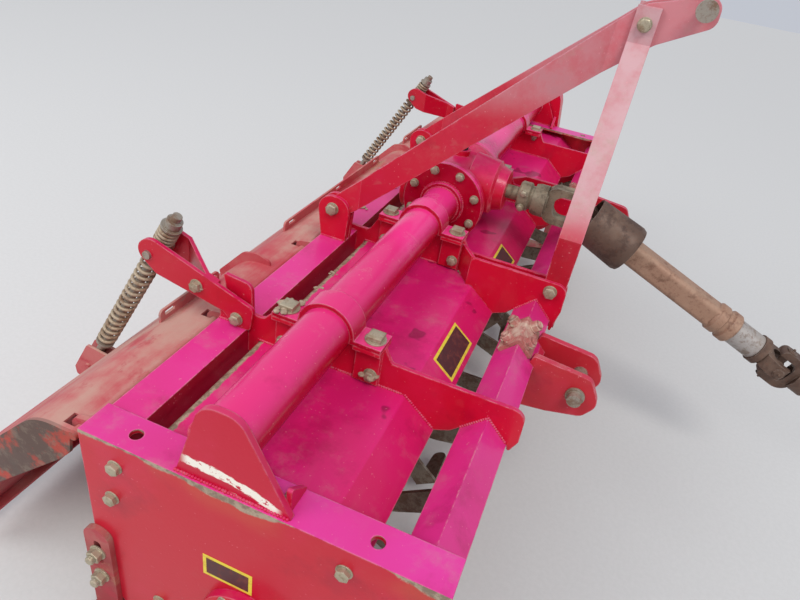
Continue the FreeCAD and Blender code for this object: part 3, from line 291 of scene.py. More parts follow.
@dataclass(frozen=True)
class GlossPaint:
    """Glossy machine paint, its faces that look up mixed towards a painted pink sky reflection.

    Above pale_above it turns paler, faded paint with a painted whitish sheen; behind soil_behind and above
    soil_above soil clings to it; a flaked paint shows white primer in a band at the foot of an arched plate.
    """

    name: str
    upright: Colour
    # painted pink sky reflection, mixed in on faces that look up
    sky_reflection_colour: Colour
    dust: float = 0.2
    wear: float = 0.6
    rough: float = 0.3
    # share of the painted sky reflection
    sky_reflection_share: float = 1.0
    pale_above: float = 0.0
    pale_share: float = 1.0
    soil_behind: float = -FAR
    soil_above: float = FAR
    dent_shade: float = 0.0
    flaked: bool = False
    flat_from: float = 0.1
    flat_to: float = 0.85

    def build(self) -> Material:
        """Make the material."""
        sheet = ShaderSheet(self.name)
        up = sheet.level().ramp(self.flat_from, self.flat_to)
        film = sheet.noise(13.0, 9.0, 0.74).ramp(0.5, 0.72)
        streak = sheet.noise(26.0, 4.0, 0.6, (1.0, 0.22, 1.4)).ramp(0.58, 0.7)
        dusty = (film * (0.12 + 0.88 * up) + streak * 0.12) * self.dust
        specks = sheet.noise(190.0, 2.0, 0.4).ramp(0.71, 0.76) * 0.5
        chips = sheet.noise(34.0, 5.0, 0.75).ramp(0.69, 0.73) * (0.2 + 0.8 * up) * 0.6
        edge = sheet.edges(0.004) * sheet.noise(42.0, 5.0, 0.7).ramp(0.4, 0.56)
        colour = sheet.coats(self.base(sheet, up), (dusty, DUST),
                             (specks.maximum(chips) * self.wear, srgb(226, 150, 156)),
                             (edge * self.wear * 0.8, srgb(226, 140, 156)))
        colour = self.soiled(sheet, colour)
        if self.flaked:
            colour = sheet.mix(self.flakes(sheet), colour, srgb(240, 234, 220))
        rough = self.rough + dusty * 0.5 + edge * 0.2
        peel = sheet.noise(140.0, 2.0) + sheet.noise(520.0, 1.0) * 0.25
        return sheet.finish(colour, rough, coat=0.16, bump=peel, strength=0.1, depth=0.0012,
                            soften=0.0022, gleam=0.28)

    def base(self, sheet: ShaderSheet, up: Value) -> Value:
        """Paint alone, with painted sky reflection on its tops, faded places, a paler top with painted sheen and
        painted dent shade.
        """
        # Painted sky reflection: faces that look up, in patches, turn towards the pinker colour.
        patch = sheet.noise(3.2, 3.0).ramp(0.35, 0.68)
        colour = sheet.mix(up * (0.7 + 0.3 * patch) * self.sky_reflection_share, self.upright, self.sky_reflection_colour)
        faded = sheet.noise(9.0, 5.0, 0.6).ramp(0.5, 0.74)
        deep = sheet.noise(7.0, 6.0, 0.66).ramp(0.52, 0.7)
        colour = sheet.coats(colour, (faded * 0.12, srgb(226, 50, 110)), (deep * 0.3, srgb(128, 2, 34)))
        if self.pale_above > 0.0:
            # Paler above pale_above: faded paint with a painted whitish sheen.
            sheen_and_fade = sheet.height().ramp(self.pale_above, self.pale_above + 0.09)
            cloud = sheet.noise(14.0, 6.0, 0.7).ramp(0.3, 0.6)
            sheen_and_fade = sheen_and_fade * (0.6 + 0.34 * cloud) * self.pale_share
            colour = sheet.mix(sheen_and_fade, colour, srgb(202, 162, 166))
        # Painted shade of small dents: sparse dark spots in a darker shade of the paint.
        if self.dent_shade > 0.0:
            spots = sheet.noise(15.0, 2.0, 0.5).ramp(0.66, 0.7) * self.dent_shade
            colour = sheet.mix(spots, colour, srgb(96, 10, 44))
        return colour

    def soiled(self, sheet: ShaderSheet, colour: Value) -> Value:
        """Ragged soil along the rear edge and the top edge."""
        ragged = sheet.noise(30.0, 6.0, 0.7)
        clay = sheet.mix(sheet.noise(60.0, 4.0, 0.7).ramp(0.4, 0.6), srgb(128, 108, 90),
                         srgb(170, 150, 128))
        if self.soil_behind > -FAR:
            limit = sheet.ahead() + (ragged - 0.5) * 0.02
            clean = limit.ramp(self.soil_behind, self.soil_behind + 0.003)
            colour = sheet.mix(1.0 - clean, colour, clay)
        if self.soil_above < FAR:
            patch = sheet.noise(6.0, 2.0, 0.5)
            limit = sheet.height() + (ragged - 0.5) * 0.02 + (patch - 0.5) * 0.06
            upright = 1.0 - sheet.level().ramp(0.3, 0.6)
            rusty = limit.ramp(self.soil_above - 0.05, self.soil_above) * patch.ramp(0.46, 0.6)
            soil = limit.ramp(self.soil_above, self.soil_above + 0.004)
            colour = sheet.coats(colour, (rusty * upright * 0.42, srgb(192, 84, 54)),
                                 (soil * upright, clay))
        return colour

    def flakes(self, sheet: ShaderSheet) -> Value:
        """Share of bare primer in a ragged band over the plate's foot."""
        ahead = sheet.ahead()
        level = sheet.height() + (ahead - 0.02).maximum(0.0) * 0.3
        long = sheet.noise(34.0, 8.0, 0.74, (0.6, 1.0, 1.7))
        level = level + (long - 0.5) * 0.03
        band = level.ramp(0.546, 0.549) * (1.0 - level.ramp(0.562, 0.565))
        thin = level.ramp(0.53, 0.532) * (1.0 - level.ramp(0.534, 0.537)) * ahead.ramp(0.02, 0.05)
        torn = sheet.noise(70.0, 6.0, 0.75).ramp(0.38, 0.44)
        ends = ahead.ramp(-0.056, -0.04) * (1.0 - ahead.ramp(0.09, 0.104))
        return band.maximum(thin) * torn * ends


@dataclass(frozen=True)
class DustyPaint:
    """Old paint under a coat of dry soil dust, bare and streaked in places."""

    name: str
    paint: Colour
    film: Colour
    cover: float = 0.6
    bare_beyond: float = FAR

    def build(self) -> Material:
        """Make the material."""
        sheet = ShaderSheet(self.name)
        up = sheet.level().ramp(-0.2, 0.9)
        long_streaks = sheet.noise(9.0, 6.0, 0.65, (1.6, 0.3, 1.6))
        cloud = sheet.noise(4.5, 8.0, 0.62)
        cover = (cloud * 0.6 + long_streaks * 0.4).ramp(0.56 - self.cover * 0.2, 0.6)
        bare = sheet.noise(15.0, 7.0, 0.7, (1.0, 0.4, 1.0)).ramp(0.6, 0.68)
        clay = sheet.noise(7.0, 6.0, 0.7, (1.6, 0.5, 1.6)).ramp(0.56, 0.68)
        scrape = sheet.noise(20.0, 6.0, 0.7, (0.5, 0.3, 1.0)).ramp(0.56, 0.64)
        colour = sheet.coats(self.paint, (cloud.ramp(0.4, 0.65), srgb(190, 74, 84)),
                             (cover * (0.3 + 0.62 * up), self.film), (bare * 0.6, BARE),
                             (clay * 0.6, srgb(176, 138, 104)), (scrape * 0.5, srgb(170, 24, 52)))
        if self.bare_beyond < FAR:
            rusty = sheet.noise(11.0, 6.0, 0.7).ramp(0.5, 0.6)
            pale = sheet.noise(40.0, 5.0, 0.7).ramp(0.5, 0.66)
            worn = sheet.coats(srgb(84, 70, 62), (rusty, srgb(170, 62, 48)),
                               (pale * 0.6, srgb(120, 108, 94)))
            beyond = sheet.aside().ramp(self.bare_beyond, self.bare_beyond + 0.001)
            colour = sheet.mix(beyond * (1.0 - up * 0.5), colour, worn)
        grain = sheet.noise(240.0, 3.0, 0.7)
        return sheet.finish(colour, 0.62 + cover * 0.22, bump=grain * 0.4 + cloud, strength=0.35,
                            depth=0.0016, soften=0.0018)


@dataclass(frozen=True)
class WornSteel:
    """Bare or rusted steel with dust on its tops."""

    name: str
    steel: Colour
    stain: Colour
    dust: Colour = DUST
    metal: float = 0.5
    rough: float = 0.5
    stained: float = 0.5
    dusty: float = 0.4

    def build(self) -> Material:
        """Make the material."""
        sheet = ShaderSheet(self.name)
        blot = sheet.noise(32.0, 7.0, 0.7).ramp(0.62 - self.stained * 0.3, 0.72 - self.stained * 0.2)
        fine = sheet.noise(150.0, 4.0, 0.7)
        up = sheet.level().ramp(-0.1, 0.9)
        film = sheet.noise(17.0, 7.0, 0.68).ramp(0.46, 0.66) * self.dusty
        edge = sheet.edges(0.002) * sheet.noise(60.0, 4.0, 0.6).ramp(0.42, 0.58)
        colour = sheet.coats(self.steel, (blot * 0.85, self.stain), (fine.ramp(0.52, 0.66) * 0.35, RUST),
                             (film * (0.45 + 0.55 * up), self.dust),
                             (edge * 0.35, srgb(196, 188, 176)))
        metal = self.metal * (1.0 - blot * 0.8) * (1.0 - film)
        return sheet.finish(colour, self.rough + film * 0.3 + blot * 0.15, metal=metal,
                            bump=fine + blot * 0.5, strength=0.3, depth=0.001, soften=0.0012)


@dataclass(frozen=True)
class PlainFinish:
    """Even finish with a little grain, for small things."""

    name: str
    colour: Colour
    second: Colour
    rough: float = 0.5
    metal: float = 0.0

    def build(self) -> Material:
        """Make the material."""
        sheet = ShaderSheet(self.name)
        blot = sheet.noise(90.0, 5.0, 0.65).ramp(0.48, 0.66)
        colour = sheet.mix(blot * 0.6, self.colour, self.second)
        return sheet.finish(colour, self.rough + blot * 0.15, metal=self.metal,
                            bump=sheet.noise(420.0, 2.0), strength=0.15, depth=0.0006)


class Finish(Enum):
    """Every finish on the machine."""

    # Each gloss paint's second colour is a painted pink sky reflection for faces that look up.
    RED = GlossPaint("red_paint", srgb(190, 8, 40), srgb(198, 20, 84))
    DEEP = GlossPaint("deep_paint", srgb(200, 12, 46), srgb(200, 22, 88), 0.22, 0.7, 0.32)
    FLAKED = GlossPaint("flaked_paint", srgb(190, 2, 44), srgb(204, 50, 104), 0.04, 0.5, 0.32,
                        flaked=True)
    TUBE = GlossPaint("tube_paint", srgb(176, 4, 40), srgb(236, 54, 136), 0.2, 0.7, 0.24)
    # The hood's sparse dark spots are painted dent shade.
    HOOD = GlossPaint("hood_paint", srgb(190, 10, 44), srgb(216, 30, 116), 0.2, 0.7, 0.34,
                      soil_behind=-0.127, dent_shade=0.55, flat_from=0.6, flat_to=0.9)
    BEAM = GlossPaint("beam_paint", srgb(170, 8, 48), srgb(222, 50, 140), 0.22, 1.0, 0.32)
    PLATE = GlossPaint("plate_paint", srgb(190, 16, 42), srgb(218, 56, 150), 0.2, 0.6, 0.36,
                       soil_above=0.521)
    HITCH = GlossPaint("hitch_paint", srgb(188, 34, 48), srgb(192, 44, 76), 0.35, 0.8, 0.42)
    MAST = GlossPaint("faded_paint", srgb(178, 22, 42), srgb(192, 70, 88), 0.6, 0.8, 0.36,
                      pale_above=0.66)
    BRACE = GlossPaint("brace_paint", srgb(202, 30, 58), srgb(200, 70, 96), 1.0, 1.0, 0.42,
                       pale_above=0.82, pale_share=0.62)
    BOARD = DustyPaint("board_paint", srgb(184, 60, 72), srgb(188, 148, 134), 0.8, 1.0258)
    SKID = DustyPaint("skid_paint", srgb(150, 40, 48), srgb(150, 128, 110), 0.7)
    TINE = WornSteel("tine_steel", srgb(140, 128, 114), srgb(92, 66, 48), SOIL, 0.75, 0.42, 0.6, 0.7)
    SPRING = WornSteel("spring_steel", srgb(176, 160, 136), srgb(116, 84, 58), DUST, 0.35, 0.55,
                       0.5, 0.5)
    ROD = WornSteel("rod_steel", srgb(160, 152, 140), srgb(112, 82, 58), DUST, 0.6, 0.45, 0.45, 0.4)
    BOLT = WornSteel("bolt_zinc", srgb(176, 166, 142), srgb(126, 104, 76), DUST, 0.55, 0.42, 0.4, 0.5)
    DRIVE = WornSteel("driveline_steel", srgb(98, 76, 64), srgb(70, 48, 38), srgb(122, 98, 82),
                      0.3, 0.5, 0.6, 0.6)
    PIPE = WornSteel("pipe_steel", srgb(168, 162, 158), srgb(116, 100, 88), srgb(150, 140, 130),
                     0.3, 0.5, 0.4, 0.6)
    YOKE = WornSteel("yoke_steel", srgb(142, 130, 108), srgb(96, 82, 64), srgb(168, 152, 128),
                     0.25, 0.5, 0.5, 0.6)
    SLEEVE = WornSteel("sleeve_steel", srgb(160, 124, 102), srgb(120, 86, 68), srgb(172, 144, 122),
                       0.15, 0.5, 0.35, 0.6)
    RUSTY = WornSteel("rusty_clamp", srgb(176, 104, 98), srgb(112, 78, 62), srgb(206, 184, 164),
                      0.1, 0.7, 0.5, 0.95)
    DRY_SOIL = PlainFinish("dry_soil", srgb(158, 138, 118), srgb(196, 180, 160), 0.94)
    LABEL_RIM = PlainFinish("label_rim", srgb(224, 206, 62), srgb(206, 150, 70), 0.5)
    LABEL_DARK = PlainFinish("label_dark", srgb(74, 34, 38), srgb(120, 60, 50), 0.5)
    PLUG = PlainFinish("plug_plastic", srgb(34, 32, 33), srgb(84, 74, 68), 0.45)

    @property
    def material(self) -> Material:
        """The finish's material, made once."""
        found = bpy.data.materials.get("look_" + self.value.name)
        return found or self.value.build()


class Bench:
    """Modelling steps that work on selected things, as by hand."""

    @staticmethod
    def clear() -> None:
        """Leave object mode with nothing selected."""
        if bpy.context.object and bpy.context.object.mode != "OBJECT":
            bpy.ops.object.mode_set(mode="OBJECT")
        bpy.ops.object.select_all(action="DESELECT")

    @staticmethod
    def pick(*things: Piece) -> None:
        """Select these objects; the first one is active."""
        Bench.clear()
        for thing in things:
            thing.select_set(True)
        bpy.context.view_layer.objects.active = things[0]

    @staticmethod
    @contextmanager
    def editing(thing: Piece, wanted: Optional[Callable[[Any], bool]] = None) -> Iterator[None]:
        """Edit an object, with all of it selected or only the faces that fit a test."""
        Bench.pick(thing)
        bpy.ops.object.mode_set(mode="EDIT")
        if wanted is None:
            bpy.ops.mesh.select_all(action="SELECT")
        else:
            bpy.ops.mesh.select_mode(type="FACE")
            bpy.ops.mesh.select_all(action="DESELECT")
            net = bmesh.from_edit_mesh(thing.data)
            for face in net.faces:
                face.select = wanted(face)
            net.select_flush(True)
            bmesh.update_edit_mesh(thing.data)
        yield
        bpy.ops.object.mode_set(mode="OBJECT")

    @staticmethod
    def disc(radius: float, thick: float, sides: int, base: float = 0.0,
             chamfer: float = 0.0) -> Piece:
        """Round or many-sided puck that stands on the z axis.

        Args:
            radius: Radius in metres.
            thick: Height in metres.
            sides: Number of sides.
            base: Height of its lower face.
            chamfer: Width of the bevel round its top.

        Returns:
            The new object.
        """
        Bench.clear()
        bpy.ops.mesh.primitive_cylinder_add(vertices=sides, radius=radius, depth=thick,
                                            location=(0.0, 0.0, base + thick / 2.0))
        thing = bpy.context.object
        bpy.ops.object.transform_apply()
        if chamfer > 0.0:
            with Bench.editing(thing, lambda face: face.normal.z > 0.9):
                bpy.ops.mesh.bevel(offset=chamfer, segments=1, affect="EDGES")
        return thing

    @staticmethod
    def join(name: str, things: Sequence[Piece]) -> Piece:
        """Join objects into one of that name."""
        Bench.pick(*things)
        if len(things) > 1:
            bpy.ops.object.join()
        thing = bpy.context.object
        thing.name = name
        thing.data.name = name
        return thing

    @staticmethod
    def copies(master: Piece, name: str, places: Iterable[Matrix]) -> Piece:
        """Copy a master to each place, join the copies and remove the master.

        Args:
            master: Object modelled about the origin.
            name: Name of the joined piece.
            places: One matrix per copy.

        Returns:
            The joined piece.
        """
        made = []
        for matrix in places:
            copy = master.copy()
            copy.data = master.data.copy()
            copy.data.transform(matrix)
            bpy.context.scene.collection.objects.link(copy)
            made.append(copy)
        joined = Bench.join(name, made)
        bpy.data.objects.remove(master)
        return joined

    @staticmethod
    def smooth(thing: Piece, degrees: float = 35.0) -> Piece:
        """Shade a piece smooth except at its corners."""
        Bench.pick(thing)
        bpy.ops.object.shade_smooth_by_angle(angle=math.radians(degrees))
        return thing

    @staticmethod
    def dress(thing: Piece, finish: Finish, body: str, slot: str) -> Piece:
        """Give a finished piece its material and body."""
        thing.data.materials.clear()
        thing.data.materials.append(finish.material)
        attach(thing, body)
        log.info("%s rides on %s", thing.name, body)
        return thing


def facing(spot: Vector, direction: Vector, spin: float = 0.0) -> Matrix:
    """Matrix that stands a master on a spot, its z axis along a direction.

    Args:
        spot: Where the master's origin goes.
        direction: Where its z axis points.
        spin: Turn about that direction in degrees.

    Returns:
        The matrix.
    """
    turn = direction.normalized().to_track_quat("Z", "Y").to_matrix().to_4x4()
    return Matrix.Translation(spot) @ turn @ Matrix.Rotation(math.radians(spin), 4, "Z")


def ring(centre: Sequence[float], radius: float, count: int, start: float = 0.0) -> list[Vector]:
    """Points round a centre, seen from the machine's side.

    Args:
        centre: Middle of the ring in the frame.
        radius: Radius in millimetres.
        count: Number of points in a full turn.
        start: Angle of the first point in degrees.

    Returns:
        The points, the first of them not repeated.
    """
    x, y, z = centre
    angles = [math.radians(start + number * 360.0 / count) for number in range(count)]
    return [Vector((x + radius * MM * math.cos(angle), y, z + radius * MM * math.sin(angle)))
            for angle in angles]


@dataclass(frozen=True)
class HexBolt:
    """Hexagon bolt head on its washer."""

    across: float = 19.0
    head: float = 8.0
    washer: float = 12.5
    washer_thick: float = 2.0
    corners: int = 6

    def model(self) -> Piece:
        """Make one, its washer's underside at the origin."""
        radius = self.across / 2.0 / math.cos(math.pi / self.corners) * MM
        washer = Bench.disc(self.washer * MM, self.washer_thick * MM, 20, SUNK, 0.0004)
        head = Bench.disc(radius, self.head * MM, self.corners, self.washer_thick * MM, 0.0011)
        with Bench.editing(head, lambda face: face.normal.z > 0.9):
            bpy.ops.mesh.inset(thickness=radius * 0.16, depth=0.0007)
        return Bench.smooth(Bench.join("bolt_master", [washer, head]))


@dataclass(frozen=True)
class NutAndStud:
    """Nut with a washer and the end of its threaded stud."""

    across: float = 22.0
    high: float = 12.0
    stud: float = 7.5
    stand: float = 22.0
    washer: float = 15.0
    pitch: float = 1.75

    def model(self) -> Piece:
        """Make one, its washer's underside at the origin."""
        washer = Bench.disc(self.washer * MM, 0.003, 20, 0.0, 0.0005)
        nut = Bench.disc(self.across / 2.0 / math.cos(math.pi / 6.0) * MM, self.high * MM, 6, 0.003,
                         0.0014)
        parts = [washer, nut, Bench.disc(self.stud * MM, self.stand * MM, 14, 0.0, 0.0012)]
        turns = int((self.stand - self.high - 4.0) / self.pitch)
        for turn in range(turns):
            level = (self.high + 3.6 + turn * self.pitch) * MM
            parts.append(Bench.disc((self.stud + 0.7) * MM, 0.0008, 14, level, 0.0003))
        return Bench.smooth(Bench.join("nut_master", parts))


@dataclass(frozen=True)
class Camera:
    """Camera at the photo's place."""

    across: float = 339.25
    back: float = -1507.13
    high: float = 1217.86
    yaw: float = 0.2792
    pitch: float = -0.5751
    roll: float = 0.1771
    focal_pixels: float = 624.53
    frame_wide: float = 800.0
    sensor: float = 36.0

    def build(self) -> None:
        """Stand the camera and make it the scene's."""
        data = bpy.data.cameras.new("photo_camera")
        data.sensor_width = self.sensor
        data.lens = self.focal_pixels / self.frame_wide * self.sensor
        data.clip_start = 0.02
        data.clip_end = 60.0
        camera = bpy.data.objects.new("photo_camera", data)
        bpy.context.scene.collection.objects.link(camera)
        turn = Matrix.Rotation(self.yaw, 4, "Z") @ Matrix.Rotation(math.pi / 2.0 + self.pitch, 4, "X")
        turn = turn @ Matrix.Rotation(self.roll, 4, "Z")
        camera.matrix_world = Matrix.Translation(PLACE.at(self.across, self.back, self.high)) @ turn
        bpy.context.scene.camera = camera


@dataclass(frozen=True)
class Studio:
    """Plain pale floor, a soft sky and two large lamps."""

    floor_half: float = 14.0
    floor_grey: float = 0.62
    sky: Colour = (0.86, 0.9, 1.0)
    sky_level: float = 0.62
    sun_level: float = 1.6
    fill_watts: float = 110.0

    def build(self) -> None:
        """Make the floor, the world and the lamps."""
        self.floor()
        self.world()
        sun = self.hang("high_sun", "SUN", self.sun_level, Vector((1.6, -2.4, 4.4)))
        sun.angle = math.radians(24.0)
        sun.color = (1.0, 0.97, 0.93)
        self.hang("side_fill", "AREA", self.fill_watts, Vector((-3.4, -3.4, 4.0))).size = 3.0

    def hang(self, name: str, kind: str, energy: float, spot: Vector) -> bpy.types.Light:
        """Hang a lamp so that it looks at the machine's middle."""
        data = bpy.data.lights.new(name, kind)
        data.energy = energy
        lamp = bpy.data.objects.new(name, data)
        bpy.context.scene.collection.objects.link(lamp)
        turn = (Vector((0.0, 0.0, 0.4)) - spot).to_track_quat("-Z", "Y").to_matrix().to_4x4()
        lamp.matrix_world = Matrix.Translation(spot) @ turn
        return data

    def floor(self) -> None:
        """Large plain floor with a faint grain."""
        Bench.clear()
        bpy.ops.mesh.primitive_plane_add(size=self.floor_half * 2.0)
        floor = bpy.context.object
        floor.name = "floor"
        with Bench.editing(floor):
            bpy.ops.mesh.subdivide(number_cuts=6)
        sheet = ShaderSheet("pale_floor")
        grain = sheet.noise(90.0, 6.0, 0.7)
        grey = self.floor_grey
        colour = sheet.mix(grain.ramp(0.35, 0.65) * 0.25, (grey, grey, grey * 0.985),
                           (grey * 0.86, grey * 0.86, grey * 0.84))
        floor.data.materials.append(sheet.finish(colour, 0.9, bump=grain, strength=0.1))

    def world(self) -> None:
        """Even pale sky."""
        world = bpy.data.worlds.new("soft_sky")
        bpy.context.scene.world = world
        world.use_nodes = True
        background = world.node_tree.nodes["Background"]
        background.inputs["Color"].default_value = (*self.sky, 1.0)
        background.inputs["Strength"].default_value = self.sky_level


@dataclass(frozen=True)
class NodeFinishes:
    """Which finish each carried-over node wears."""

    smooth_angle: float = 32.0
    groups: tuple = (
        ("side_plate", Finish.PLATE),
        ("tube_end_plate_right", Finish.FLAKED),
        (("main_tube", "tube_straps"), Finish.TUBE),
        ("hood", Finish.HOOD),
        (("rear_beam", "front_beam"), Finish.BEAM),
        ("lower_hitch", Finish.HITCH),
        ("mast_upright", Finish.MAST),
        ("mast_brace", Finish.BRACE),
        (("trailing_board", "board_bracket", "hinge_bracket"), Finish.BOARD),
        ("skid", Finish.SKID),
        (("tines_", "rotor_discs"), Finish.TINE),
        ("rotor_tube", Finish.DEEP),
        (("spring_long", "spring_short"), Finish.SPRING),
        (("spring_rod", "trunnion", "top_link_pin", "hitch_pins"), Finish.ROD),
        ("hitch_clamp", Finish.RUSTY),
        (("input_yoke", "joint_cross"), Finish.YOKE),
        (("shaft_yoke", "shaft_bell", "rear_yoke", "tractor_yoke"), Finish.DRIVE),
        ("shaft_outer_tube", Finish.SLEEVE),
        ("shaft_inner_tube", Finish.PIPE),
        ("filler_plug", Finish.PLUG),
        (("gearbox", "rib_", "drive_case", "tube_end_plate"), Finish.DEEP),
    )

    def finish_of(self, node: str) -> Finish:
        """The finish of a node, red paint where nothing else is named."""
        for starts, finish in self.groups:
            if node.startswith(starts):
                return finish
        return Finish.RED

    def apply(self) -> None:
        """Dress every node and smooth its round faces."""
        for name, thing in frame["nodes"].items():
            thing.data.materials.clear()
            thing.data.materials.append(self.finish_of(name).material)
            thing.data.polygons.foreach_set("material_index", [0] * len(thing.data.polygons))
            thing.data.polygons.foreach_set("use_smooth", [True] * len(thing.data.polygons))
            weld = thing.modifiers.new("merge", "WELD")
            weld.merge_threshold = 0.00002
            creases = thing.modifiers.new("creases", "EDGE_SPLIT")
            creases.split_angle = math.radians(self.smooth_angle)


@dataclass
class FrameBolts:
    """Bolts of the side plates, gearbox, tube clamps, ribs and head frame."""

    half_width: float = 1050.0
    plate_bolts: tuple = ((-162, 481), (-176, 407), (-107, 187), (199, 485),
                          (60, 130), (190, 250))
    skid_bolts: tuple = ((-213, 262), (-213, 200), (218, 160), (218, 105))
    ear_x: tuple = (-82, 82)
    rib_y: tuple = (242, 712)
    flange_circle: float = 84.0
    flange_face: float = 109.0
    flange_count: int = 8
    bearing_circle: float = 65.0
    bearing_out: float = 14.0
    case_top: float = 90.0
    case_low: float = 78.0
    mast_bolts: tuple = ((-198, 316, 592, 1, 12), (-198, 284, 592, -1, 30),
                         (326, 54, 1064, 1, 25), (320, 296, 548, 1, 40))
    lever_bolts: tuple = ((-264, 724, 576, 1, 8), (-180, 724, 536, 1, 21))
    plate_bolt: HexBolt = field(default_factory=HexBolt)
    small_bolt: HexBolt = field(default_factory=lambda: HexBolt(17.0, 7.0, 11.0))

    def build(self) -> None:
        """Make the bolts in groups, one piece each."""
        for name, side in SIDES:
            self.side_plate(name, side)
            self.clamps(name, side)
            self.gearbox(name, side)
        self.bearing()
        self.drive_case()
        self.mast()

    def place(self, bolt: Any, name: str, places: list[Matrix],
              slot: str = "rod_steel", finish: Finish = Finish.BOLT) -> None:
        """Model a bolt, copy it to its places and dress the group."""
        Bench.dress(Bench.copies(bolt.model(), name, places), finish, "frame", slot)

    def side_plate(self, name: str, side: float) -> None:
        """Bolts through a side plate and its skid."""
        out = Vector((0.0, side, 0.0))
        places = [facing(PLACE.at(x, side * self.half_width, z), out, 17.0 * number)
                  for number, (x, z) in enumerate(self.plate_bolts)]
        self.place(self.plate_bolt, "side_plate_bolts_" + name, places)
        places = [facing(PLACE.at(x, side * (self.half_width + 10.0), z), out)
                  for x, z in self.skid_bolts]
        self.place(NutAndStud(), "skid_nuts_" + name, places)

    def clamps(self, name: str, side: float) -> None:
        """Square plates and bolts on the tube clamps' ears."""
        top = PLACE.height
        places = [facing(PLACE.at(x, side * y, top), Vector((0, 0, 1)), 45.0)
                  for y in self.rib_y for x in self.ear_x]
        self.place(HexBolt(26.0, 9.0, 19.0, 3.0, 4), "clamp_bolts_" + name, places)
        low = [facing(PLACE.at(x, side * y, top - 16.0), Vector((0, 0, -1)), 20.0)
               for y in self.rib_y for x in self.ear_x]
        self.place(NutAndStud(), "clamp_nuts_" + name, low)

    def gearbox(self, name: str, side: float) -> None:
        """Ring of bolts on the tube's flange."""
        centre = PLACE.at(0.0, side * self.flange_face, PLACE.height)
        spots = ring(centre, self.flange_circle, self.flange_count, 22.5)
        places = [facing(spot, Vector((0, side, 0)), number * 13.0)
                  for number, spot in enumerate(spots)]
        self.place(self.small_bolt, "flange_bolts_" + name, places)

    def bearing(self) -> None:
        """Bolts round the rotor's bearing housing."""
        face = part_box("side_plate_right")[0].y - self.bearing_out * MM
        places = [facing(spot, Vector((0, -1, 0)))
                  for spot in ring((ROTOR[0], face, ROTOR[2]), self.bearing_circle, 6)]
        self.place(HexBolt(15.0, 6.0, 8.6), "bearing_bolts", places)

    def drive_case(self) -> None:
        """Bolts round the drive case's cover."""
        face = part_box("drive_case_cover")[1].y
        top = Vector((PLACE.ahead, face, PLACE.height * MM))
        low = Vector((ROTOR[0], face, ROTOR[2]))
        run = (low - top).normalized()
        across = Vector((run.z, 0.0, -run.x))
        places = []
        for spot, radius, start in ((top, self.case_top * MM, 0.0), (low, self.case_low * MM, 180.0)):
            for step in range(-2, 3):
                angle = math.radians(start + 90.0 + step * 42.0)
                offset = across * math.cos(angle) * radius - run * math.sin(angle) * radius
                places.append(facing(spot + offset, Vector((0, 1, 0)), step * 9.0))
        for share in (0.36, 0.66):
            half = (self.case_top + (self.case_low - self.case_top) * share) * MM
            for sign in (-1.0, 1.0):
                spot = top.lerp(low, share) + across * sign * half
                places.append(facing(spot, Vector((0, 1, 0))))
        self.place(HexBolt(13.0, 6.0, 8.0), "case_cover_bolts", places)

    def both_sides(self, rows: tuple) -> list[Matrix]:
        """Places on the right side and then on the left.

        Args:
            rows: x, y and z of each place, 1 to face outwards or -1 inwards, and the spin.

        Returns:
            One matrix per place.
        """
        return [facing(PLACE.at(x, side * y, z), Vector((0, side * way, 0)), spin)
                for side in (-1.0, 1.0) for x, y, z, way, spin in rows]

    def mast(self) -> None:
        """Bolts that hold the head frame, the rib tabs and the levers together."""
        self.place(HexBolt(24.0, 10.0, 15.0), "mast_bolts", self.both_sides(self.mast_bolts))
        tabs = tuple((x, y + 12.0, 524.0, 1.0, x) for y in self.rib_y for x in (-84.0, 86.0))
        places = self.both_sides(tabs + self.lever_bolts)
        self.place(HexBolt(19.0, 8.0, 13.0), "tab_bolts", places)
        places = []
        for side in (-1.0, 1.0):
            for y in (403.0, 467.0):
                for x, lean in ((277.0, -1.0), (312.0, 1.0)):
                    up = Vector((lean, 0.0, 1.0))
                    lift = 519.0 - abs(x - 297.0) + 11.4
                    places.append(facing(PLACE.at(x, side * y, lift), up, 10.0 * x))
        self.place(NutAndStud(22.0, 12.0, 7.5, 20.0, 14.0), "hitch_clamp_bolts", places,
                   finish=Finish.RUSTY)


@dataclass
class RotorBolts:
    """Two bolts at the root of every tine."""

    discs: int = 9
    first: float = 995.0
    root: float = 70.0
    apart: float = 11.0
    face: float = 12.0

    def build(self) -> None:
        """Make the bolts as one piece on the rotor."""
        places = []
        for index in range(self.discs):
            middle = (-self.first + index * 2.0 * self.first / (self.discs - 1)) * MM + PLACE.middle
            for step in range(6):
                side = 1.0 if step % 2 == 0 else -1.0
                if (index == 0 and side < 0) or (index == self.discs - 1 and side > 0):
                    continue
                angle = math.radians(step * 60.0 + index * 17.0)
                for offset in (-self.apart, self.apart):
                    x = (offset * math.cos(angle) + self.root * math.sin(angle)) * MM
                    z = (-offset * math.sin(angle) + self.root * math.cos(angle)) * MM
                    spot = Vector((ROTOR[0] + x, middle + side * self.face * MM, ROTOR[2] + z))
                    places.append(facing(spot, Vector((0, side, 0)), step * 11.0))
        piece = Bench.copies(HexBolt(15.0, 7.0, 9.0, 1.5).model(), "tine_bolts", places)
        Bench.dress(piece, Finish.TINE, "rotor", "tine_steel")


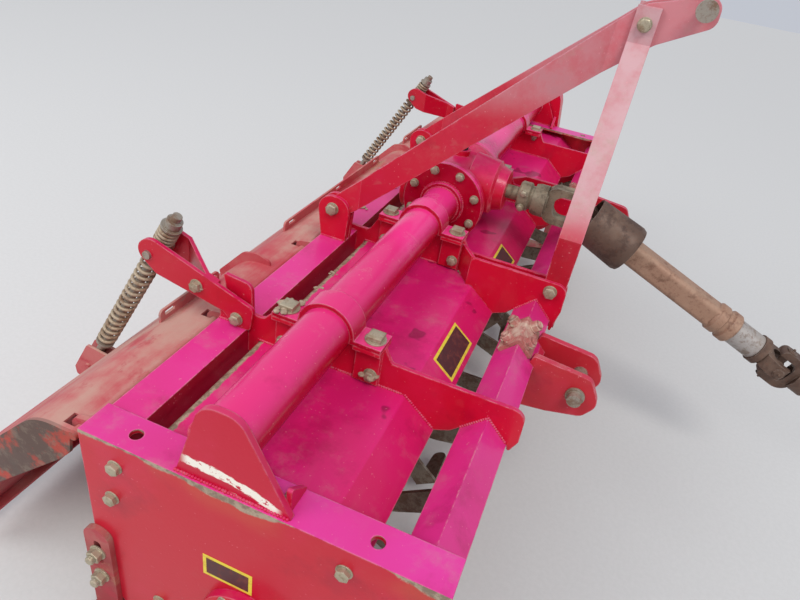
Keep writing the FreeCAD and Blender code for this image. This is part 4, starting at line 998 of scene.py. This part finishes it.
@dataclass
class JointTrim:
    """Bearing caps, nipples and pinch bolts of the drive shaft's joints."""

    arm: float = 47.0
    rear_joint: float = 61.0
    pinch: tuple = (-139.0, -35.0, 19.0)
    cap_parts: tuple = ((13.8, 2.0, 24, 0.5), (11.2, 3.2, 24, 0.5), (3.2, 9.0, 8, 1.0))

    def build(self) -> None:
        """Make the trim of both joints."""
        joint = Vector(JOINTS["driveshaft_tilt"]["pos_m"])
        bore = next(m for m in frame["record"]["mounts"] if m["name"] == "power_take_off_bore")
        along = Vector(bore["axis"])
        across = Vector((0.0, 1.0, 0.0))
        up = along.cross(across).normalized() * -1.0
        second = Vector(bore["pos_m"]) - along * self.rear_joint * MM
        self.caps("joint_caps_fixed", joint, Vector((0.0, 0.0, 1.0)), "frame")
        self.caps("joint_caps_shaft", joint, across, "driveshaft")
        self.caps("joint_caps_rear", second, across, "driveshaft")
        self.caps("joint_caps_end", second, up, "driveshaft")
        x, y, lift = self.pinch
        places = [facing(joint + Vector((x, y, z)) * MM, Vector((0, -1, 0)), 15.0)
                  for z in (lift, -lift)]
        Bench.dress(Bench.copies(HexBolt(14.0, 7.0, 9.5).model(), "pinch_bolts", places),
                    Finish.BOLT, "frame", "driveline_steel")

    def caps(self, name: str, centre: Vector, axis: Vector, body: str) -> None:
        """Round caps and their snap rings on both arms of a yoke."""
        parts = [Bench.disc(radius * MM, high * MM, sides, SUNK, chamfer * MM)
                 for radius, high, sides, chamfer in self.cap_parts]
        master = Bench.smooth(Bench.join("cap_master", parts))
        places = [facing(centre + axis * sign * self.arm * MM, axis * sign) for sign in (-1.0, 1.0)]
        Bench.dress(Bench.copies(master, name, places), Finish.DRIVE, body, "driveline_steel")


@dataclass
class WeldSeams:
    """Rippled weld beads where plates meet the tube and the beams."""

    step: float = 4.6
    bead: float = 3.6

    def build(self) -> None:
        """Lay the seams as two pieces, one a side."""
        for name, side in SIDES:
            lines = self.rings(side) + self.feet(side)
            places = [self.bead_at(spot, run, number)
                      for line in lines for number, (spot, run) in enumerate(self.walk(line))]
            Bench.clear()
            bpy.ops.mesh.primitive_ico_sphere_add(subdivisions=1, radius=self.bead * MM)
            piece = Bench.copies(bpy.context.object, "weld_seams_" + name, places)
            Bench.dress(Bench.smooth(piece, 80.0), Finish.DEEP, "frame", "red_paint")

    def rings(self, side: float) -> list[list[Vector]]:
        """Seams round the tube at its end plate and at its flange."""
        rings = [ring(PLACE.at(0.0, side * y, PLACE.height), radius, 64)
                 for y, radius in ((1033.5, 44.5), (121.5, 44.5), (109.5, 54.0))]
        return [spots + spots[:1] for spots in rings]

    def feet(self, side: float) -> list[list[Vector]]:
        """Straight seams at the feet of plates and tabs."""
        rear = ((-220.0, 519.5), (-162.0, 519.5))
        hood = ((-134.0, 501.5), (148.0, 501.5))
        slope = ((151.0, 501.0), (212.0, 451.5))
        rise = ((257.0, 479.5), (297.0, 519.5))
        fall = ((297.0, 519.5), (337.0, 479.5))
        rows = (((1034.0, 1044.5), (((-61.5, 527.5), (115.0, 527.5)),)),
                ((1041.5,), (((-160.0, 519.0), (-222.0, 519.0)),)),
                ((238.0, 246.0, 708.0, 716.0), (rear, hood, slope, rise, fall)),
                ((288.0, 296.0), (rise, fall)),
                ((284.0, 294.0, 306.0, 316.0), (rear,)))
        return [[PLACE.at(x, side * y, z) for x, z in run]
                for stations, runs in rows for y in stations for run in runs]

    def walk(self, line: list[Vector]) -> Iterable[tuple[Vector, Vector]]:
        """Even steps along a line, each with its direction."""
        for first, second in zip(line, line[1:]):
            run = second - first
            count = max(1, round(run.length / (self.step * MM)))
            for number in range(count):
                yield first + run * (number / count), run.normalized()

    def bead_at(self, spot: Vector, run: Vector, number: int) -> Matrix:
        """Matrix of one bead, slightly uneven."""
        wobble = 1.0 + 0.12 * math.sin(number * 2.3)
        return facing(spot, run, number * 37.0) @ Matrix.Diagonal((wobble, wobble, 0.82, 1.0))


@dataclass
class DriedSoil:
    """Lumps of dried soil caught on bolts, ledges and corners."""

    heaps: tuple = (
        (-84, -722, 594, 11, 5), (-80, -700, 592, 9, 4), (86, -728, 526, 10, 4),
        (-264, -728, 572, 9, 3), (277, -403, 512, 9, 3), (277, -467, 512, 9, 3),
        (312, -403, 517, 8, 3), (312, -467, 517, 9, 3), (-126, -560, 501, 6, 4),
        (-128, -500, 501, 6, 4), (-128, -430, 501, 6, 4), (-128, -640, 501, 6, 4),
        (60, -700, 503, 9, 3), (110, -256, 503, 9, 3), (96, -1008, 528, 8, 3),
        (277, 403, 514, 16, 3), (312, 467, 518, 15, 3), (-84, 722, 596, 15, 4),
        (-60, 640, 503, 10, 3), (-190, 60, 521, 9, 4), (-196, -120, 521, 8, 4),
    )
    spread: float = 1.3
    kinds: int = 4
    seed: int = 11

    def build(self) -> None:
        """Make all lumps as one piece on the frame."""
        rng = random.Random(self.seed)
        lumps = []
        for seed in range(self.kinds):
            Bench.clear()
            bpy.ops.mesh.primitive_ico_sphere_add(subdivisions=3, radius=1.0)
            with Bench.editing(bpy.context.object):
                bpy.ops.transform.vertex_random(offset=0.16, uniform=0.3, normal=0.5, seed=seed)
                bpy.ops.mesh.vertices_smooth(factor=0.4)
            lumps.append(bpy.context.object)
        groups = []
        for number, lump in enumerate(lumps):
            places = []
            for x, y, z, size, count in self.heaps[number::len(lumps)]:
                for _ in range(count):
                    spot = PLACE.at(x + rng.uniform(-size, size) * self.spread,
                                    y + rng.uniform(-size, size) * self.spread, z)
                    scale = size * rng.uniform(0.35, 0.75) * MM
                    shape = Matrix.Diagonal((scale * rng.uniform(0.8, 1.5), scale, scale * 0.5, 1.0))
                    turn = Matrix.Rotation(rng.uniform(0.0, math.tau), 4, "Z")
                    places.append(Matrix.Translation(spot) @ turn @ shape)
            groups.append(Bench.copies(lump, "soil_group", places))
        piece = Bench.smooth(Bench.join("dried_soil", groups), 70.0)
        Bench.dress(piece, Finish.DRY_SOIL, "frame", "worn_steel")


@dataclass
class BlankLabels:
    """Thin labels with a rim and an empty panel."""

    rim: float = 6.0
    hood_labels: tuple = (("hood_label_outer", -515.0, 140.0), ("hood_label_inner", -80.0, 96.0))

    def build(self) -> None:
        """Stick the labels on the right side plate and on the hood's front slope."""
        self.label("plate_label", PLACE.at(23.5, -1050.0, 353.5), Vector((1, 0, 0)),
                   Vector((0, 0, -1)), 83.0, 47.0)
        slope = Vector((63.0, 0.0, -51.0)).normalized()
        for name, y, wide in self.hood_labels:
            self.label(name, PLACE.at(182.0, y, 475.1), Vector((0, 1, 0)), slope, wide, 58.0)

    def label(self, name: str, centre: Vector, across: Vector, down: Vector, wide: float,
              tall: float) -> None:
        """One label: a rim sheet and a darker panel on it.

        Args:
            name: Name of the label's pieces.
            centre: Middle of the label on its surface.
            across: Direction of its width.
            down: Direction of its height.
            wide: Width in millimetres.
            tall: Height in millimetres.
        """
        layers = (("_rim", wide, tall, 0.5, Finish.LABEL_RIM),
                  ("_panel", wide - 2.0 * self.rim, tall - 2.0 * self.rim, 0.9, Finish.LABEL_DARK))
        turn = Matrix((across, down, across.cross(down))).transposed().to_4x4()
        out = down.cross(across)
        for suffix, length, height, thick, finish in layers:
            Bench.clear()
            bpy.ops.mesh.primitive_cube_add(size=1.0)
            sheet = bpy.context.object
            sheet.scale = (length * MM, height * MM, thick * MM)
            bpy.ops.object.transform_apply()
            sheet.data.transform(Matrix.Translation(centre + out * thick * 0.5 * MM) @ turn)
            sheet.name = name + suffix
            with Bench.editing(sheet):
                bpy.ops.mesh.normals_make_consistent(inside=False)
            Bench.dress(sheet, finish, "frame", "plug_plastic")


@dataclass
class SprungRods:
    """Coil springs of the levelling rods."""

    wire: float = 7.0
    coil: float = 16.5
    steps: int = 20
    kinds: tuple = (("long", 17), ("short", 4))

    def build(self) -> None:
        """Replace each sleeve with a real coil."""
        for name, _ in SIDES:
            slide = JOINTS["rod_%s_slide" % name]
            along = Vector(slide["axis"])
            for kind, turns in self.kinds:
                node = "spring_%s_%s" % (kind, name)
                low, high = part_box(node)
                across = (high.y - low.y) * abs(along.x)
                half = (high.z - low.z - across) / abs(along.z) / 2.0
                start = (low + high) / 2.0 - along * half
                piece = self.helix(node + "_coil", start, along, 2.0 * half, turns)
                Bench.dress(piece, Finish.SPRING, "rod_" + name, "spring_steel")
                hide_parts(node)
                if kind == "long":
                    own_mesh(piece)

    def helix(self, name: str, start: Vector, along: Vector, length: float,
              turns: int) -> Piece:
        """Wire turned round a line, with closed flat ends.

        Args:
            name: Name of the piece.
            start: Middle of the coil's lower end.
            along: Direction of the coil.
            length: Length of the coil in metres.
            turns: Number of turns.

        Returns:
            The coil.
        """
        wire = self.wire / 2.0 * MM
        Bench.clear()
        bpy.ops.mesh.primitive_circle_add(vertices=10, radius=wire,
                                          location=(self.coil * MM, 0.0, wire),
                                          rotation=(math.pi / 2.0, 0.0, 0.0))
        coil = bpy.context.object
        bpy.ops.object.transform_apply()
        screw = coil.modifiers.new("turns", "SCREW")
        screw.axis = "Z"
        screw.iterations = turns
        screw.screw_offset = (length - 2.0 * wire) / turns
        screw.steps = self.steps
        screw.render_steps = self.steps
        screw.use_merge_vertices = False
        Bench.pick(coil)
        bpy.ops.object.modifier_apply(modifier=screw.name)
        with Bench.editing(coil):
            bpy.ops.mesh.remove_doubles(threshold=0.00001)
            bpy.ops.mesh.select_all(action="SELECT")
            bpy.ops.mesh.fill_holes(sides=0)
            bpy.ops.mesh.select_all(action="SELECT")
            bpy.ops.mesh.normals_make_consistent(inside=False)
        coil.data.transform(facing(start, along))
        coil.name = name
        return Bench.smooth(coil, 50.0)


def main() -> None:
    """Build the looks in order."""
    logging.basicConfig(level=logging.INFO, format="%(message)s")
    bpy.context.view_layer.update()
    scene = bpy.context.scene
    scene.view_settings.view_transform = "Standard"
    Camera().build()
    Studio().build()
    NodeFinishes().apply()
    FrameBolts().build()
    RotorBolts().build()
    JointTrim().build()
    WeldSeams().build()
    DriedSoil().build()
    BlankLabels().build()
    SprungRods().build()


if __name__ == "__main__":
    main()
